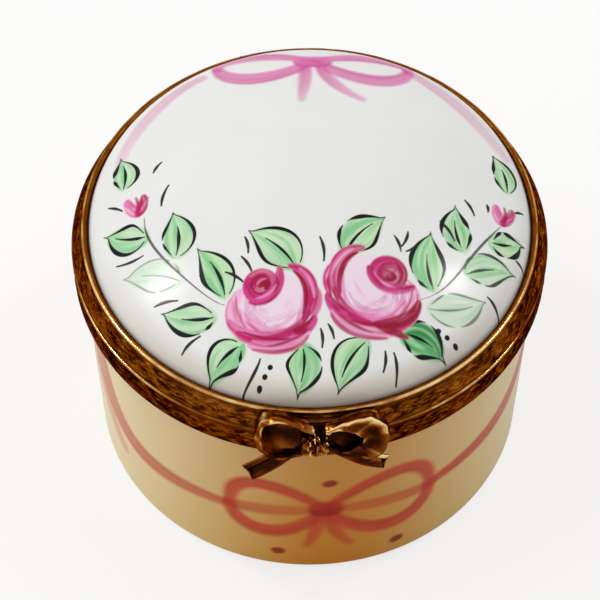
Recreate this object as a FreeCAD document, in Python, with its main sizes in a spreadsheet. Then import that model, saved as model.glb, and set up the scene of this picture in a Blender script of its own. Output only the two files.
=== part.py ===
import FreeCAD, Part
import math
import os

import Sketcher

# Round porcelain keepsake box with a hinged domed lid, brass collars and a brass bow clasp.
# Millimetres. +Z is up, the clasp is at the front (-Y) and the hinge at the back (+Y).
# The origin is on the box's axis, in the plane of the ring that it stands on.

Vector = FreeCAD.Vector
document = FreeCAD.newDocument("keepsake_box")
sheet = document.addObject("Spreadsheet::Sheet", "dims")

# Driving dimensions: name, value, meaning.
dimensions = (
    ("drum_taper", "0.9", "how far the porcelain drum narrows to its foot"),
    ("drum_wall", "2.2", "wall of the drum"),
    ("drum_floor", "2.6", "floor of the drum"),
    ("foot_round", "0.6", "rounding of the drum's lower edge"),
    ("foot_ring_width", "1.9", "width of the ring that the box stands on"),
    ("foot_recess", "0.7", "depth of the hollow inside that ring"),
    ("floor_round", "2.0", "rounding between wall and floor inside"),
    ("seam_level", "25.7", "height of the joint between base and lid"),
    ("seam_gap", "0.06", "daylight between the two collars when shut"),
    ("collar_radius", "22.5", "outside of both collars at the seam"),
    ("band_thickness", "0.5", "sheet brass of the collar bands"),
    ("flange_thickness", "0.5", "sheet brass of the collar flanges"),
    ("base_band_height", "2.8", "base collar's band below the seam"),
    ("lid_band_height", "2.4", "lid collar's band above the seam"),
    ("lid_band_inset", "0.95", "how far the lid band leans in by its top"),
    ("seam_lip", "0.3", "upright lip at the foot of the lid band"),
    ("rim_bead_radius", "0.3", "rolled bead at the top of the lid band"),
    ("seam_bead_radius", "0.2", "small bead at the foot of the lid band"),
    ("cement_thickness", "0.3", "cement between drum and base band"),
    ("cement_setback", "0.2", "cement kept back from the collar edges"),
    ("lid_wall", "2.2", "wall of the porcelain lid"),
    ("lid_clearance", "0.1", "gap between lid porcelain and rim bead"),
    ("lid_shoulder_rise", "1.6", "shoulder corner above the lid band"),
    ("lid_crown_rise", "4.6", "rise of the dome above that corner"),
    ("lid_shoulder_round", "3.0", "rounding of the lid's shoulder"),
    ("lid_inner_round", "1.5", "rounding inside the lid"),
    ("hinge_length", "12.0", "length over the five knuckles"),
    ("hinge_inset", "0.7", "hinge axis inside the collars' outside"),
    ("knuckle_radius", "0.9", "outside of the knuckles"),
    ("knuckle_gap", "0.08", "end play between neighbouring knuckles"),
    ("knuckle_room", "0.25", "porcelain and cement kept off the knuckles"),
    ("notch_clearance", "0.1", "room round the other leaf's knuckles"),
    ("pin_radius", "0.45", "hinge pin"),
    ("pin_clearance", "0.03", "running fit of the pin"),
    ("pin_head_radius", "0.65", "riveted heads of the pin"),
    ("pin_head_thickness", "0.25", "thickness of those heads"),
    ("pin_head_clearance", "0.1", "heads to the ends of the collar notches"),
    ("tongue_width", "4.2", "clasp tongue across the front"),
    ("tongue_thickness", "0.4", "sheet brass of the tongue"),
    ("tongue_standoff", "0.1", "tongue off the seam bead"),
    ("tongue_lift", "0.1", "tongue's bend above the seam bead"),
    ("tongue_seat", "1.9", "top of the tongue above the seam"),
    ("tongue_drop", "2.2", "foot of the tongue below the seam"),
    ("nib_radius", "0.55", "catch nib's head"),
    ("nib_reach", "0.75", "head's reach out of the base collar"),
    ("nib_round", "0.25", "rounding of the head"),
    ("nib_shank_radius", "0.3", "shank riveted through the band"),
    ("nib_drop", "1.3", "nib below the seam"),
    ("slot_clearance", "0.05", "tongue's slot round the nib"),
    ("bow_rise", "1.2", "middle of the bow above the seam"),
    ("ribbon_width", "1.6", "loop ribbon, front to back"),
    ("ribbon_thickness", "0.4", "loop ribbon"),
    ("loop_length", "5.2", "loop from the knot's side to its end"),
    ("loop_end_radius", "1.75", "outside of the loop's round end"),
    ("loop_neck", "0.75", "half spread of the loop at the knot"),
    ("loop_lift", "0.3", "loop's end above the knot's middle"),
    ("loop_sweep", "13", "loops swept back round the collar, degrees"),
    ("loop_standoff", "0.7", "loops off the tongue, behind them the tails"),
    ("knot_width", "1.8", "knot across the back"),
    ("knot_height", "2.0", "knot, top to bottom"),
    ("knot_proud", "0.3", "knot in front of the loops"),
    ("knot_round", "0.35", "rounding of the knot's front"),
    ("tail_width", "1.7", "ribbon tails across"),
    ("tail_thickness", "0.35", "ribbon tails"),
    ("tail_notch", "0.8", "swallowtail cut in the tips"),
    ("left_tail_length", "7.2", "longer tail, knot to tip"),
    ("left_tail_angle", "34", "longer tail below level, degrees"),
    ("right_tail_length", "6.0", "shorter tail, knot to tip"),
    ("right_tail_angle", "25", "shorter tail below level, degrees"),
)
for row, (alias, value, meaning) in enumerate(dimensions, start=1):
    sheet.set("A%d" % row, meaning)
    sheet.set("B%d" % row, value)
    sheet.setAlias("B%d" % row, alias)
document.recompute()


def size(alias):
    return float(sheet.get(alias))


# Sizes worked out from the driving ones, written as the document's own expressions.
base_rim = "(dims.seam_level - dims.seam_gap / 2)"
lid_foot = "(dims.seam_level + dims.seam_gap / 2)"
band_bore = "(dims.collar_radius - dims.band_thickness)"
base_band_foot = "(dims.seam_level - dims.base_band_height)"
base_flange_under = "(%s - dims.flange_thickness)" % base_rim
drum_rim = "(dims.seam_level - dims.knuckle_radius - dims.knuckle_room)"
drum_top_radius = "(%s - dims.cement_thickness)" % band_bore
drum_foot_radius = "(%s - dims.drum_taper)" % drum_top_radius
drum_bore = "(%s - dims.drum_wall)" % drum_top_radius
drum_floor_bore = "(%s - dims.drum_wall)" % drum_foot_radius
drum_floor_level = "(dims.foot_recess + dims.drum_floor)"
foot_ring_bore = "(%s - dims.foot_round - dims.foot_ring_width)" % drum_foot_radius
lid_band_top = "(dims.seam_level + dims.lid_band_height)"
lid_band_top_radius = "(dims.collar_radius - dims.lid_band_inset)"
lid_flange_top = "(%s + dims.flange_thickness)" % lid_foot
rim_bead_middle = "(%s - dims.band_thickness / 2)" % lid_band_top_radius
lid_radius = "(%s - dims.rim_bead_radius - dims.lid_clearance)" % rim_bead_middle
lid_bore = "(%s - dims.lid_wall)" % lid_radius
lid_rim = "(dims.seam_level + dims.knuckle_radius + dims.knuckle_room)"
lid_corner = "(%s + dims.lid_shoulder_rise)" % lid_band_top
lid_cement_top = "(%s - dims.rim_bead_radius - dims.cement_setback)" % lid_band_top
hinge_y = "(dims.collar_radius - dims.hinge_inset)"
knuckle_length = "((dims.hinge_length - 4 * dims.knuckle_gap) / 5)"
knuckle_pitch = "(%s + dims.knuckle_gap)" % knuckle_length
knuckle_slot = "(%s + 2 * dims.knuckle_gap)" % knuckle_length
hinge_notch = "(dims.hinge_length + 2 * dims.pin_head_thickness + 2 * dims.pin_head_clearance)"
free_notch_radius = "(dims.knuckle_radius + dims.notch_clearance)"

# The lid band's lean: radius gained per millimetre downwards, outside and inside.
outer_lean = "(dims.lid_band_inset / (dims.lid_band_height - dims.seam_gap / 2 - dims.seam_lip))"
inner_lean = "(dims.lid_band_inset / (dims.lid_band_height - dims.seam_gap / 2 - dims.flange_thickness))"
bow_lean = "atan(%s)" % outer_lean


def band_radius(level):
    # Outside of the leaning lid band at a level.
    return "(%s + (%s - %s) * %s)" % (lid_band_top_radius, lid_band_top, level, outer_lean)


nib_level = "(dims.seam_level - dims.nib_drop)"
tongue_top = "(dims.seam_level + dims.tongue_seat)"
tongue_bend = "(%s + 2 * dims.seam_bead_radius)" % lid_foot
tongue_start = "(%s + dims.tongue_lift)" % tongue_bend
tongue_bore = "(dims.collar_radius + dims.seam_bead_radius / 2 + dims.tongue_standoff)"
tongue_front = "(%s + dims.tongue_thickness)" % tongue_bore
tongue_foot = "(dims.seam_level - dims.tongue_drop)"
tongue_knee = "(%s - (%s - %s) / %s)" % (tongue_top, tongue_bore, band_radius(tongue_top), outer_lean)
slot_half = "(dims.nib_radius + dims.slot_clearance)"
bow_level = "(dims.seam_level + dims.bow_rise)"
bow_seat = "(%s + dims.tongue_thickness)" % band_radius(bow_level)

sub_parts = []


def new_body(label):
    body = document.addObject("PartDesign::Body", label)
    body.Label = label
    sub_parts.append(body)
    return body


def new_sketch(body, name, plane, offset=None):
    sketch = body.newObject("Sketcher::SketchObject", name)
    planes = {feature.Role: feature for feature in body.Origin.OriginFeatures}
    sketch.AttachmentSupport = [(planes[plane], "")]
    sketch.MapMode = "FlatFace"
    if offset:
        sketch.setExpression("AttachmentOffset.Base.z", offset)
    return sketch


def hold_point(sketch, curve, vertex, across, up):
    # Ties one point of a sketch to the axes; "0" puts it on the axis itself.
    here = sketch.getPoint(curve, vertex)
    for kind, expression, axis, now in (("DistanceX", across, -2, here.x), ("DistanceY", up, -1, here.y)):
        if expression == "0":
            sketch.addConstraint(Sketcher.Constraint("PointOnObject", curve, vertex, axis))
        else:
            index = sketch.addConstraint(Sketcher.Constraint(kind, -1, 1, curve, vertex, now))
            sketch.setExpression("Constraints[%d]" % index, expression)


def hold_radius(sketch, curve, now, expression):
    index = sketch.addConstraint(Sketcher.Constraint("Radius", curve, now))
    sketch.setExpression("Constraints[%d]" % index, expression)


def join(sketch, pairs):
    for first, first_end, second, second_end in pairs:
        sketch.addConstraint(Sketcher.Constraint("Coincident", first, first_end, second, second_end))


def polygon(sketch, corners):
    # Straight-sided outline; the starting corners lie on a circle and are then tied to their places.
    count = len(corners)
    angles = [2 * math.pi * k / count for k in range(count)]
    start = [Vector(20 + 5 * math.cos(a), 20 + 5 * math.sin(a), 0) for a in angles]
    for k in range(count):
        sketch.addGeometry(Part.LineSegment(start[k], start[(k + 1) % count]), False)
    join(sketch, [(k, 2, (k + 1) % count, 1) for k in range(count)])
    for k, (across, up) in enumerate(corners):
        hold_point(sketch, k, 1, across, up)


def circle(sketch, across, up, radius):
    curve = sketch.addGeometry(Part.Circle(Vector(10, 10, 0), Vector(0, 0, 1), 1), False)
    hold_point(sketch, curve, 3, across, up)
    hold_radius(sketch, curve, 1, radius)


def turned(body, name, sketch, axis="V_Axis", angle=None):
    feature = body.newObject("PartDesign::Revolution", name)
    feature.Profile = sketch
    feature.ReferenceAxis = (sketch, [axis])
    if angle:
        feature.Midplane = True
        feature.setExpression("Angle", angle)
    else:
        feature.Angle = 360
    document.recompute()
    return feature


def padded(body, name, sketch, length, symmetric=False):
    feature = body.newObject("PartDesign::Pad", name)
    feature.Profile = sketch
    feature.setExpression("Length", length)
    if symmetric:
        feature.SideType = "Symmetric"
    document.recompute()
    return feature


def cut(body, name, sketch, length):
    # A cut to both sides of its sketch, which has to take material away.
    before = body.Shape.Volume
    feature = body.newObject("PartDesign::Pocket", name)
    feature.Profile = sketch
    feature.SideType = "Symmetric"
    feature.setExpression("Length", length)
    document.recompute()
    if body.Shape.Volume >= before:
        raise RuntimeError("%s cuts nothing" % name)
    return feature


def rounded(body, name, base, edges, radius):
    feature = body.newObject("PartDesign::Fillet", name)
    feature.Base = (base, ["Edge%d" % (k + 1) for k in edges])
    feature.setExpression("Radius", radius)
    document.recompute()
    return feature


def circles_of(shape, radius):
    # Indices of full circles of one radius about the box's axis, lowest first.
    found = []
    for k, edge in enumerate(shape.Edges):
        if edge.Degenerated or edge.Curve.TypeId != "Part::GeomCircle":
            continue
        if abs(edge.Curve.Radius - radius) < 0.001:
            found.append((edge.Curve.Center.z, k))
    return [k for level, k in sorted(found)]


def hinge_cut(body, name, middle, length, radius):
    # A round channel along the hinge axis, with its middle at a place along X.
    sketch = new_sketch(body, name + "_round", "YZ_Plane", middle)
    circle(sketch, hinge_y, "dims.seam_level", radius)
    cut(body, name, sketch, length)


def placed(body, expression):
    body.setExpression("Placement", expression)
    document.recompute()


# Porcelain drum: tapered wall, floor, rounded foot and a ring to stand on.
drum = new_body("porcelain_base")
section = new_sketch(drum, "drum_section", "XZ_Plane")
polygon(section, (
    ("0", "dims.foot_recess"),
    (foot_ring_bore, "dims.foot_recess"),
    (foot_ring_bore, "0"),
    (drum_foot_radius, "0"),
    (drum_top_radius, base_band_foot),
    (drum_top_radius, drum_rim),
    (drum_bore, drum_rim),
    (drum_floor_bore, drum_floor_level),
    ("0", drum_floor_level),
))
drum_turned = turned(drum, "drum_turned", section)
foot_outside = (size("collar_radius") - size("band_thickness") - size("cement_thickness")
                - size("drum_taper"))
foot_edge = circles_of(drum.Shape, foot_outside)
drum_foot = rounded(drum, "drum_foot", drum_turned, foot_edge[:1], "dims.foot_round")
floor_edge = circles_of(drum.Shape, foot_outside - size("drum_wall"))
rounded(drum, "drum_inside", drum_foot, floor_edge[:1], "dims.floor_round")

# Cement that beds the base collar on the drum's rim, cleared round the knuckles.
base_cement = new_body("base_cement_bed")
section = new_sketch(base_cement, "base_cement_section", "XZ_Plane")
polygon(section, (
    (drum_bore, drum_rim),
    (drum_top_radius, drum_rim),
    (drum_top_radius, "%s + dims.cement_setback" % base_band_foot),
    (band_bore, "%s + dims.cement_setback" % base_band_foot),
    (band_bore, base_flange_under),
    (drum_bore, base_flange_under),
))
turned(base_cement, "base_cement_ring", section)
hinge_cut(base_cement, "base_cement_channel", None, hinge_notch, free_notch_radius)

# Base collar: a band outside the drum and a flange over its rim. Its own knuckles sit in a
# channel of their radius, and the lid's two knuckles have clearance.
base_collar = new_body("base_collar")
section = new_sketch(base_collar, "base_collar_section", "XZ_Plane")
polygon(section, (
    (band_bore, base_band_foot),
    ("dims.collar_radius", base_band_foot),
    ("dims.collar_radius", base_rim),
    (drum_bore, base_rim),
    (drum_bore, base_flange_under),
    (band_bore, base_flange_under),
))
turned(base_collar, "base_collar_ring", section)
hinge_cut(base_collar, "base_hinge_channel", None, hinge_notch, "dims.knuckle_radius")
for side, place in (("left", "-%s" % knuckle_pitch), ("right", knuckle_pitch)):
    hinge_cut(base_collar, "base_free_notch_" + side, place, knuckle_slot, free_notch_radius)
rivet_hole = new_sketch(base_collar, "nib_hole_round", "XZ_Plane", "dims.collar_radius")
circle(rivet_hole, "0", nib_level, "dims.nib_shank_radius")
cut(base_collar, "nib_hole", rivet_hole, "4 * dims.band_thickness")

# Porcelain lid: a shallow dome over an upright skirt, with a rounded shoulder.
lid = new_body("porcelain_lid")
section = new_sketch(lid, "lid_section", "XZ_Plane")
band_top = size("seam_level") + size("lid_band_height")
lid_outside = (size("collar_radius") - size("lid_band_inset") - size("band_thickness") / 2
               - size("rim_bead_radius") - size("lid_clearance"))
lid_inside = lid_outside - size("lid_wall")
corner_level = band_top + size("lid_shoulder_rise")
apex = corner_level + size("lid_crown_rise")
crown = (lid_outside ** 2 + size("lid_crown_rise") ** 2) / (2 * size("lid_crown_rise"))
crown_inside = crown - size("lid_wall")
crown_middle = Vector(0, apex - crown, 0)
rim_level = size("seam_level") + size("knuckle_radius") + size("knuckle_room")
inner_corner = crown_middle.y + math.sqrt(crown_inside ** 2 - lid_inside ** 2)
upwards = Vector(0, 0, 1)
outer_arc = section.addGeometry(Part.ArcOfCircle(
    Part.Circle(crown_middle, upwards, crown), math.acos(lid_outside / crown), math.pi / 2), False)
apex_line = section.addGeometry(Part.LineSegment(
    Vector(0, apex, 0), Vector(0, apex - size("lid_wall"), 0)), False)
inner_arc = section.addGeometry(Part.ArcOfCircle(
    Part.Circle(crown_middle, upwards, crown_inside), math.acos(lid_inside / crown_inside), math.pi / 2), False)
inner_skirt = section.addGeometry(Part.LineSegment(
    Vector(lid_inside, inner_corner, 0), Vector(lid_inside, rim_level, 0)), False)
rim_line = section.addGeometry(Part.LineSegment(
    Vector(lid_inside, rim_level, 0), Vector(lid_outside, rim_level, 0)), False)
outer_skirt = section.addGeometry(Part.LineSegment(
    Vector(lid_outside, rim_level, 0), Vector(lid_outside, corner_level, 0)), False)
join(section, (
    (outer_arc, 2, apex_line, 1),
    (apex_line, 2, inner_arc, 2),
    (inner_arc, 1, inner_skirt, 1),
    (inner_skirt, 2, rim_line, 1),
    (rim_line, 2, outer_skirt, 1),
    (outer_skirt, 2, outer_arc, 1),
    (outer_arc, 3, inner_arc, 3),
))
section.addConstraint(Sketcher.Constraint("PointOnObject", outer_arc, 3, -2))
section.addConstraint(Sketcher.Constraint("Vertical", inner_skirt))
hold_point(section, outer_skirt, 2, lid_radius, lid_corner)
hold_point(section, outer_skirt, 1, lid_radius, lid_rim)
hold_point(section, rim_line, 1, lid_bore, lid_rim)
hold_point(section, apex_line, 1, "0", "%s + dims.lid_crown_rise" % lid_corner)
hold_point(section, apex_line, 2, "0", "%s + dims.lid_crown_rise - dims.lid_wall" % lid_corner)
lid_turned = turned(lid, "lid_turned", section)
shoulder = circles_of(lid.Shape, lid_outside)
lid_shoulder = rounded(lid, "lid_shoulder", lid_turned, shoulder[-1:], "dims.lid_shoulder_round")
inside_edge = circles_of(lid.Shape, lid_inside)
rounded(lid, "lid_inside", lid_shoulder, inside_edge[-1:], "dims.lid_inner_round")

# Cement that beds the lid collar on the lid's skirt, cleared round the knuckles.
lid_cement = new_body("lid_cement_bed")
section = new_sketch(lid_cement, "lid_cement_section", "XZ_Plane")
polygon(section, (
    (lid_bore, lid_flange_top),
    (band_bore, lid_flange_top),
    ("%s - dims.band_thickness + (%s - %s) * %s" % (lid_band_top_radius, lid_band_top, lid_cement_top, inner_lean),
     lid_cement_top),
    (lid_radius, lid_cement_top),
    (lid_radius, lid_rim),
    (lid_bore, lid_rim),
))
turned(lid_cement, "lid_cement_ring", section)
hinge_cut(lid_cement, "lid_cement_channel", None, hinge_notch, free_notch_radius)

# Lid collar: a band that leans in to a rolled bead, a flange under the lid's rim and a small bead
# along the seam. Its own two knuckles sit in a channel of their radius, the base's three are clear.
lid_collar = new_body("lid_collar")
section = new_sketch(lid_collar, "lid_collar_section", "XZ_Plane")
polygon(section, (
    (lid_bore, lid_foot),
    ("dims.collar_radius", lid_foot),
    ("dims.collar_radius", "%s + dims.seam_lip" % lid_foot),
    (lid_band_top_radius, lid_band_top),
    ("%s - dims.band_thickness" % lid_band_top_radius, lid_band_top),
    (band_bore, lid_flange_top),
    (lid_bore, lid_flange_top),
))
turned(lid_collar, "lid_collar_ring", section)
bead = new_sketch(lid_collar, "rim_bead_round", "XZ_Plane")
circle(bead, rim_bead_middle, lid_band_top, "dims.rim_bead_radius")
turned(lid_collar, "rim_bead", bead)
bead = new_sketch(lid_collar, "seam_bead_round", "XZ_Plane")
circle(bead, "dims.collar_radius - dims.seam_bead_radius / 2", "%s + dims.seam_bead_radius" % lid_foot,
       "dims.seam_bead_radius")
turned(lid_collar, "seam_bead", bead)
hinge_cut(lid_collar, "lid_hinge_channel", None, hinge_notch, "dims.knuckle_radius")
for side, steps in (("left", -2), ("centre", 0), ("right", 2)):
    place = "%d * %s" % (steps, knuckle_pitch) if steps else None
    hinge_cut(lid_collar, "lid_free_notch_" + side, place, knuckle_slot, free_notch_radius)

# Five hinge knuckles in a row along X: the base carries the outer two and the middle one.
knuckles = (
    ("base_knuckle_left", -2),
    ("lid_knuckle_left", -1),
    ("base_knuckle_centre", 0),
    ("lid_knuckle_right", 1),
    ("base_knuckle_right", 2),
)
for label, steps in knuckles:
    knuckle = new_body(label)
    rings = new_sketch(knuckle, label + "_rings", "YZ_Plane")
    circle(rings, "0", "0", "dims.knuckle_radius")
    circle(rings, "0", "0", "dims.pin_radius + dims.pin_clearance")
    padded(knuckle, label + "_tube", rings, knuckle_length, symmetric=True)
    placed(knuckle, "placement(vector(%d * %s; %s; dims.seam_level); rotation(vector(1; 0; 0); 0))"
           % (steps, knuckle_pitch, hinge_y))

# Hinge pin with a riveted head at each end.
pin = new_body("hinge_pin")
section = new_sketch(pin, "pin_section", "XY_Plane")
pin_shoulder = "dims.hinge_length / 2"
pin_end = "dims.hinge_length / 2 + dims.pin_head_thickness"
polygon(section, (
    ("-(%s)" % pin_end, "0"),
    (pin_end, "0"),
    (pin_end, "dims.pin_head_radius"),
    (pin_shoulder, "dims.pin_head_radius"),
    (pin_shoulder, "dims.pin_radius"),
    ("-(%s)" % pin_shoulder, "dims.pin_radius"),
    ("-(%s)" % pin_shoulder, "dims.pin_head_radius"),
    ("-(%s)" % pin_end, "dims.pin_head_radius"),
))
turned(pin, "pin_turned", section, axis="H_Axis")
placed(pin, "placement(vector(0; %s; dims.seam_level); rotation(vector(1; 0; 0); 0))" % hinge_y)

# Catch nib: a round-headed stud riveted through the base collar at the front.
nib = new_body("catch_nib")
section = new_sketch(nib, "nib_section", "XY_Plane")
nib_face = "-(dims.collar_radius + dims.nib_reach)"
polygon(section, (
    ("0", nib_face),
    ("dims.nib_radius", nib_face),
    ("dims.nib_radius", "-dims.collar_radius"),
    ("dims.nib_shank_radius", "-dims.collar_radius"),
    ("dims.nib_shank_radius", "-%s" % band_bore),
    ("0", "-%s" % band_bore),
))
nib_turned = turned(nib, "nib_turned", section)
face_level = -(size("collar_radius") + size("nib_reach"))
nib_edge = [k for k, edge in enumerate(nib.Shape.Edges)
            if edge.BoundBox.YMax - face_level < 0.001 and edge.Curve.TypeId == "Part::GeomCircle"]
rounded(nib, "nib_head", nib_turned, nib_edge, "dims.nib_round")
placed(nib, "placement(vector(0; 0; %s); rotation(vector(1; 0; 0); 0))" % nib_level)

# Clasp tongue: a strip soldered to the leaning lid band, bent down in front of the base collar,
# with a slot, open below, that grips the nib.
tongue = new_body("clasp_tongue")
section = new_sketch(tongue, "tongue_section", "YZ_Plane")
polygon(section, (
    ("-%s" % band_radius(tongue_top), tongue_top),
    ("-%s" % band_radius(tongue_start), tongue_start),
    ("-%s" % tongue_bore, tongue_bend),
    ("-%s" % tongue_bore, tongue_foot),
    ("-%s" % tongue_front, tongue_foot),
    ("-%s" % tongue_front, tongue_knee),
    ("-(%s + dims.tongue_thickness)" % band_radius(tongue_top), tongue_top),
))
turned(tongue, "tongue_strip", section, angle="2 * asin(dims.tongue_width / 2 / %s)" % tongue_front)
slot = new_sketch(tongue, "nib_slot_outline", "XZ_Plane", tongue_bore)
slot_top = "%s + %s" % (nib_level, slot_half)
slot_foot = "%s - dims.tongue_thickness" % tongue_foot
polygon(slot, (
    ("-%s" % slot_half, slot_foot),
    (slot_half, slot_foot),
    (slot_half, slot_top),
    ("-%s" % slot_half, slot_top),
))
cut(tongue, "nib_slot", slot, "4 * dims.tongue_thickness")

# The bow stands on the tongue and leans with the lid band. Its frame has X across, Z up the lean
# and -Y forwards. The knot's sides are slanted, so that loops and tails sweep back from them.
bow_frame = "placement(vector(0; -%s; %s); rotation(vector(1; 0; 0); -%s))" % (bow_seat, bow_level, bow_lean)

knot = new_body("bow_knot")
plan = new_sketch(knot, "knot_plan", "XY_Plane")
knot_half = "dims.knot_width / 2"
knot_depth = "(dims.loop_standoff + dims.ribbon_width + dims.knot_proud)"
knot_front = "-(%s * cos(dims.loop_sweep * 1 deg))" % knot_depth
knot_front_half = "(%s + %s * sin(dims.loop_sweep * 1 deg))" % (knot_half, knot_depth)
polygon(plan, (
    (knot_half, "0"),
    ("-(%s)" % knot_half, "0"),
    ("-%s" % knot_front_half, knot_front),
    (knot_front_half, knot_front),
))
knot_pad = padded(knot, "knot_block", plan, "dims.knot_height", symmetric=True)
front_level = knot.Shape.BoundBox.YMin
front_edges = [k for k, edge in enumerate(knot.Shape.Edges) if edge.BoundBox.YMax - front_level < 0.001]
rounded(knot, "knot_front", knot_pad, front_edges, "dims.knot_round")
placed(knot, bow_frame)


def swept_from_knot(body, side):
    # Puts a piece's own upright plane on one side of the knot, swept back round the collar.
    placed(body, "%s * placement(vector(%d * %s; 0; 0); rotation(vector(0; 0; 1); %d * dims.loop_sweep))"
           % (bow_frame, side, knot_half, side))


def bow_loop(label, side):
    # A ribbon bent to a teardrop: two legs from the knot's side, tangent to a round end.
    body = new_body(label)
    outline = new_sketch(body, label + "_outline", "XZ_Plane", "dims.loop_standoff")
    outer = size("loop_end_radius")
    inner = outer - size("ribbon_thickness")
    reach = size("loop_length") - outer
    neck = size("loop_neck")
    middle = Vector(side * reach, size("loop_lift"), 0)
    slope = math.atan2(outer - neck, reach)
    first = -math.pi / 2 - slope if side > 0 else math.pi / 2 - slope
    last = math.pi / 2 + slope if side > 0 else 3 * math.pi / 2 + slope
    upper, lower = (2, 1) if side > 0 else (1, 2)
    arcs = [outline.addGeometry(Part.ArcOfCircle(
        Part.Circle(middle, upwards, radius), first, last), False) for radius in (outer, inner)]
    legs = {}
    for name, radius in (("outer", outer), ("inner", inner)):
        for end, sign, vertex in (("upper", 1, upper), ("lower", -1, lower)):
            arc = arcs[0] if name == "outer" else arcs[1]
            start = Vector(0, sign * (neck - outer + radius), 0)
            legs[name, end] = outline.addGeometry(Part.LineSegment(start, outline.getPoint(arc, vertex)), False)
            outline.addConstraint(Sketcher.Constraint("Tangent", legs[name, end], 2, arc, vertex))
            outline.addConstraint(Sketcher.Constraint("PointOnObject", legs[name, end], 1, -2))
    join(outline, ((arcs[0], 3, arcs[1], 3),))
    for end, height in (("upper", "dims.loop_neck"), ("lower", "-dims.loop_neck")):
        pair = legs["outer", end], legs["inner", end]
        outline.addConstraint(Sketcher.Constraint("Parallel", pair[0], pair[1]))
        here = outline.getPoint(pair[0], 1)
        index = outline.addConstraint(Sketcher.Constraint("DistanceY", -1, 1, pair[0], 1, here.y))
        outline.setExpression("Constraints[%d]" % index, height)
        cap = outline.addGeometry(Part.LineSegment(here, outline.getPoint(pair[1], 1)), False)
        join(outline, ((cap, 1, pair[0], 1), (cap, 2, pair[1], 1)))
    hold_point(outline, arcs[0], 3, "%d * (dims.loop_length - dims.loop_end_radius)" % side, "dims.loop_lift")
    hold_radius(outline, arcs[0], outer, "dims.loop_end_radius")
    hold_radius(outline, arcs[1], inner, "dims.loop_end_radius - dims.ribbon_thickness")
    padded(body, label + "_ribbon", outline, "dims.ribbon_width")
    swept_from_knot(body, side)


bow_loop("bow_left_loop", -1)
bow_loop("bow_right_loop", 1)


def bow_tail(label, side, length, fall):
    # A flat ribbon behind the loops, from the knot's side down to a swallowtail tip.
    body = new_body(label)
    outline = new_sketch(body, label + "_outline", "XZ_Plane", "dims.loop_standoff - dims.tail_thickness")
    half = "dims.tail_width / 2"
    along, down = "cos(%s * 1 deg)" % fall, "sin(%s * 1 deg)" % fall
    polygon(outline, (
        ("0", "%s / %s" % (half, along)),
        ("0", "-(%s / %s)" % (half, along)),
        ("%d * (%s * %s - %s * %s)" % (side, length, along, half, down),
         "-(%s * %s + %s * %s)" % (length, down, half, along)),
        ("%d * (%s - dims.tail_notch) * %s" % (side, length, along),
         "-((%s - dims.tail_notch) * %s)" % (length, down)),
        ("%d * (%s * %s + %s * %s)" % (side, length, along, half, down),
         "%s * %s - %s * %s" % (half, along, length, down)),
    ))
    padded(body, label + "_ribbon", outline, "dims.tail_thickness")
    swept_from_knot(body, side)


bow_tail("bow_left_tail", -1, "dims.left_tail_length", "dims.left_tail_angle")
bow_tail("bow_right_tail", 1, "dims.right_tail_length", "dims.right_tail_angle")

document.recompute()
for item in document.Objects:
    if any(word in item.State for word in ("Invalid", "Error")):
        raise RuntimeError("%s failed: %s" % (item.Label, item.State))
for body in sub_parts:
    if body.Shape.isNull() or not body.Shape.isValid() or len(body.Shape.Solids) != 1:
        raise RuntimeError("%s is not one sound solid" % body.Label)

os.makedirs("parts", exist_ok=True)
for body in sub_parts:
    body.Shape.exportStep("parts/%s.step" % body.Label)
    box = body.Shape.BoundBox
    print("%-20s %8.2f mm3  x %6.2f %6.2f  y %6.2f %6.2f  z %6.2f %6.2f" % (
        body.Label, body.Shape.Volume, box.XMin, box.XMax, box.YMin, box.YMax, box.ZMin, box.ZMax))
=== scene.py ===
import bpy
import numpy as np
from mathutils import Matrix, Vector


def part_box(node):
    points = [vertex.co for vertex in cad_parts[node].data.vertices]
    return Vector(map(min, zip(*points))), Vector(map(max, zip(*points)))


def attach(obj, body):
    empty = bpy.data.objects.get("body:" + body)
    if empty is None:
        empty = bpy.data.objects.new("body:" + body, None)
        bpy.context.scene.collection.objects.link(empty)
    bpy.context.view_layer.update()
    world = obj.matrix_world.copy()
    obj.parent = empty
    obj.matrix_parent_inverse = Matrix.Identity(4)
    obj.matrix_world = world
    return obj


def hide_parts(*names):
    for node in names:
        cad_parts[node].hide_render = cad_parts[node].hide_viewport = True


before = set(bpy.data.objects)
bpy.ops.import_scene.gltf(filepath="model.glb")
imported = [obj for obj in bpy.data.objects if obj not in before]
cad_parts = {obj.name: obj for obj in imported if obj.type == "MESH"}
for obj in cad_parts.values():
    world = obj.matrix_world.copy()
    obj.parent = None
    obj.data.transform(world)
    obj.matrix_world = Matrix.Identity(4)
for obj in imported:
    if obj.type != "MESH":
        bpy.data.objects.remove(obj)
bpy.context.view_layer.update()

mm = 0.001  # the script works in millimetres and the meshes are in metres
random = np.random.default_rng(11)
noiseTable = random.random((128, 128))


def span(node):
    # lowest and highest corner of a CAD node, in millimetres
    low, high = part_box(node)
    return np.array(low) / mm, np.array(high) / mm


def linear(code):
    # sRGB hex to linear light
    value = np.array([int(code[i:i + 2], 16) for i in (0, 2, 4)]) / 255
    return np.where(value <= 0.04045, value / 12.92, ((value + 0.055) / 1.055) ** 2.4)


def rgba(code):
    return (*linear(code), 1.0)


def ease(t):
    # 3t^2 - 2t^3 between 0 and 1
    t = np.clip(t, 0, 1)
    return t * t * (3 - 2 * t)


def bell(value, middle, width):
    # e to the minus square of the distance from the middle, in widths
    return np.exp(-((value - middle) / width) ** 2)


def power(value, exponent):
    # power of the size, with the sign kept
    return np.sign(value) * np.abs(value) ** exponent


def fullTurn(count):
    # evenly spaced angles of a closed ring
    return np.linspace(0, 2 * np.pi, count, endpoint=False)


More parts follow.
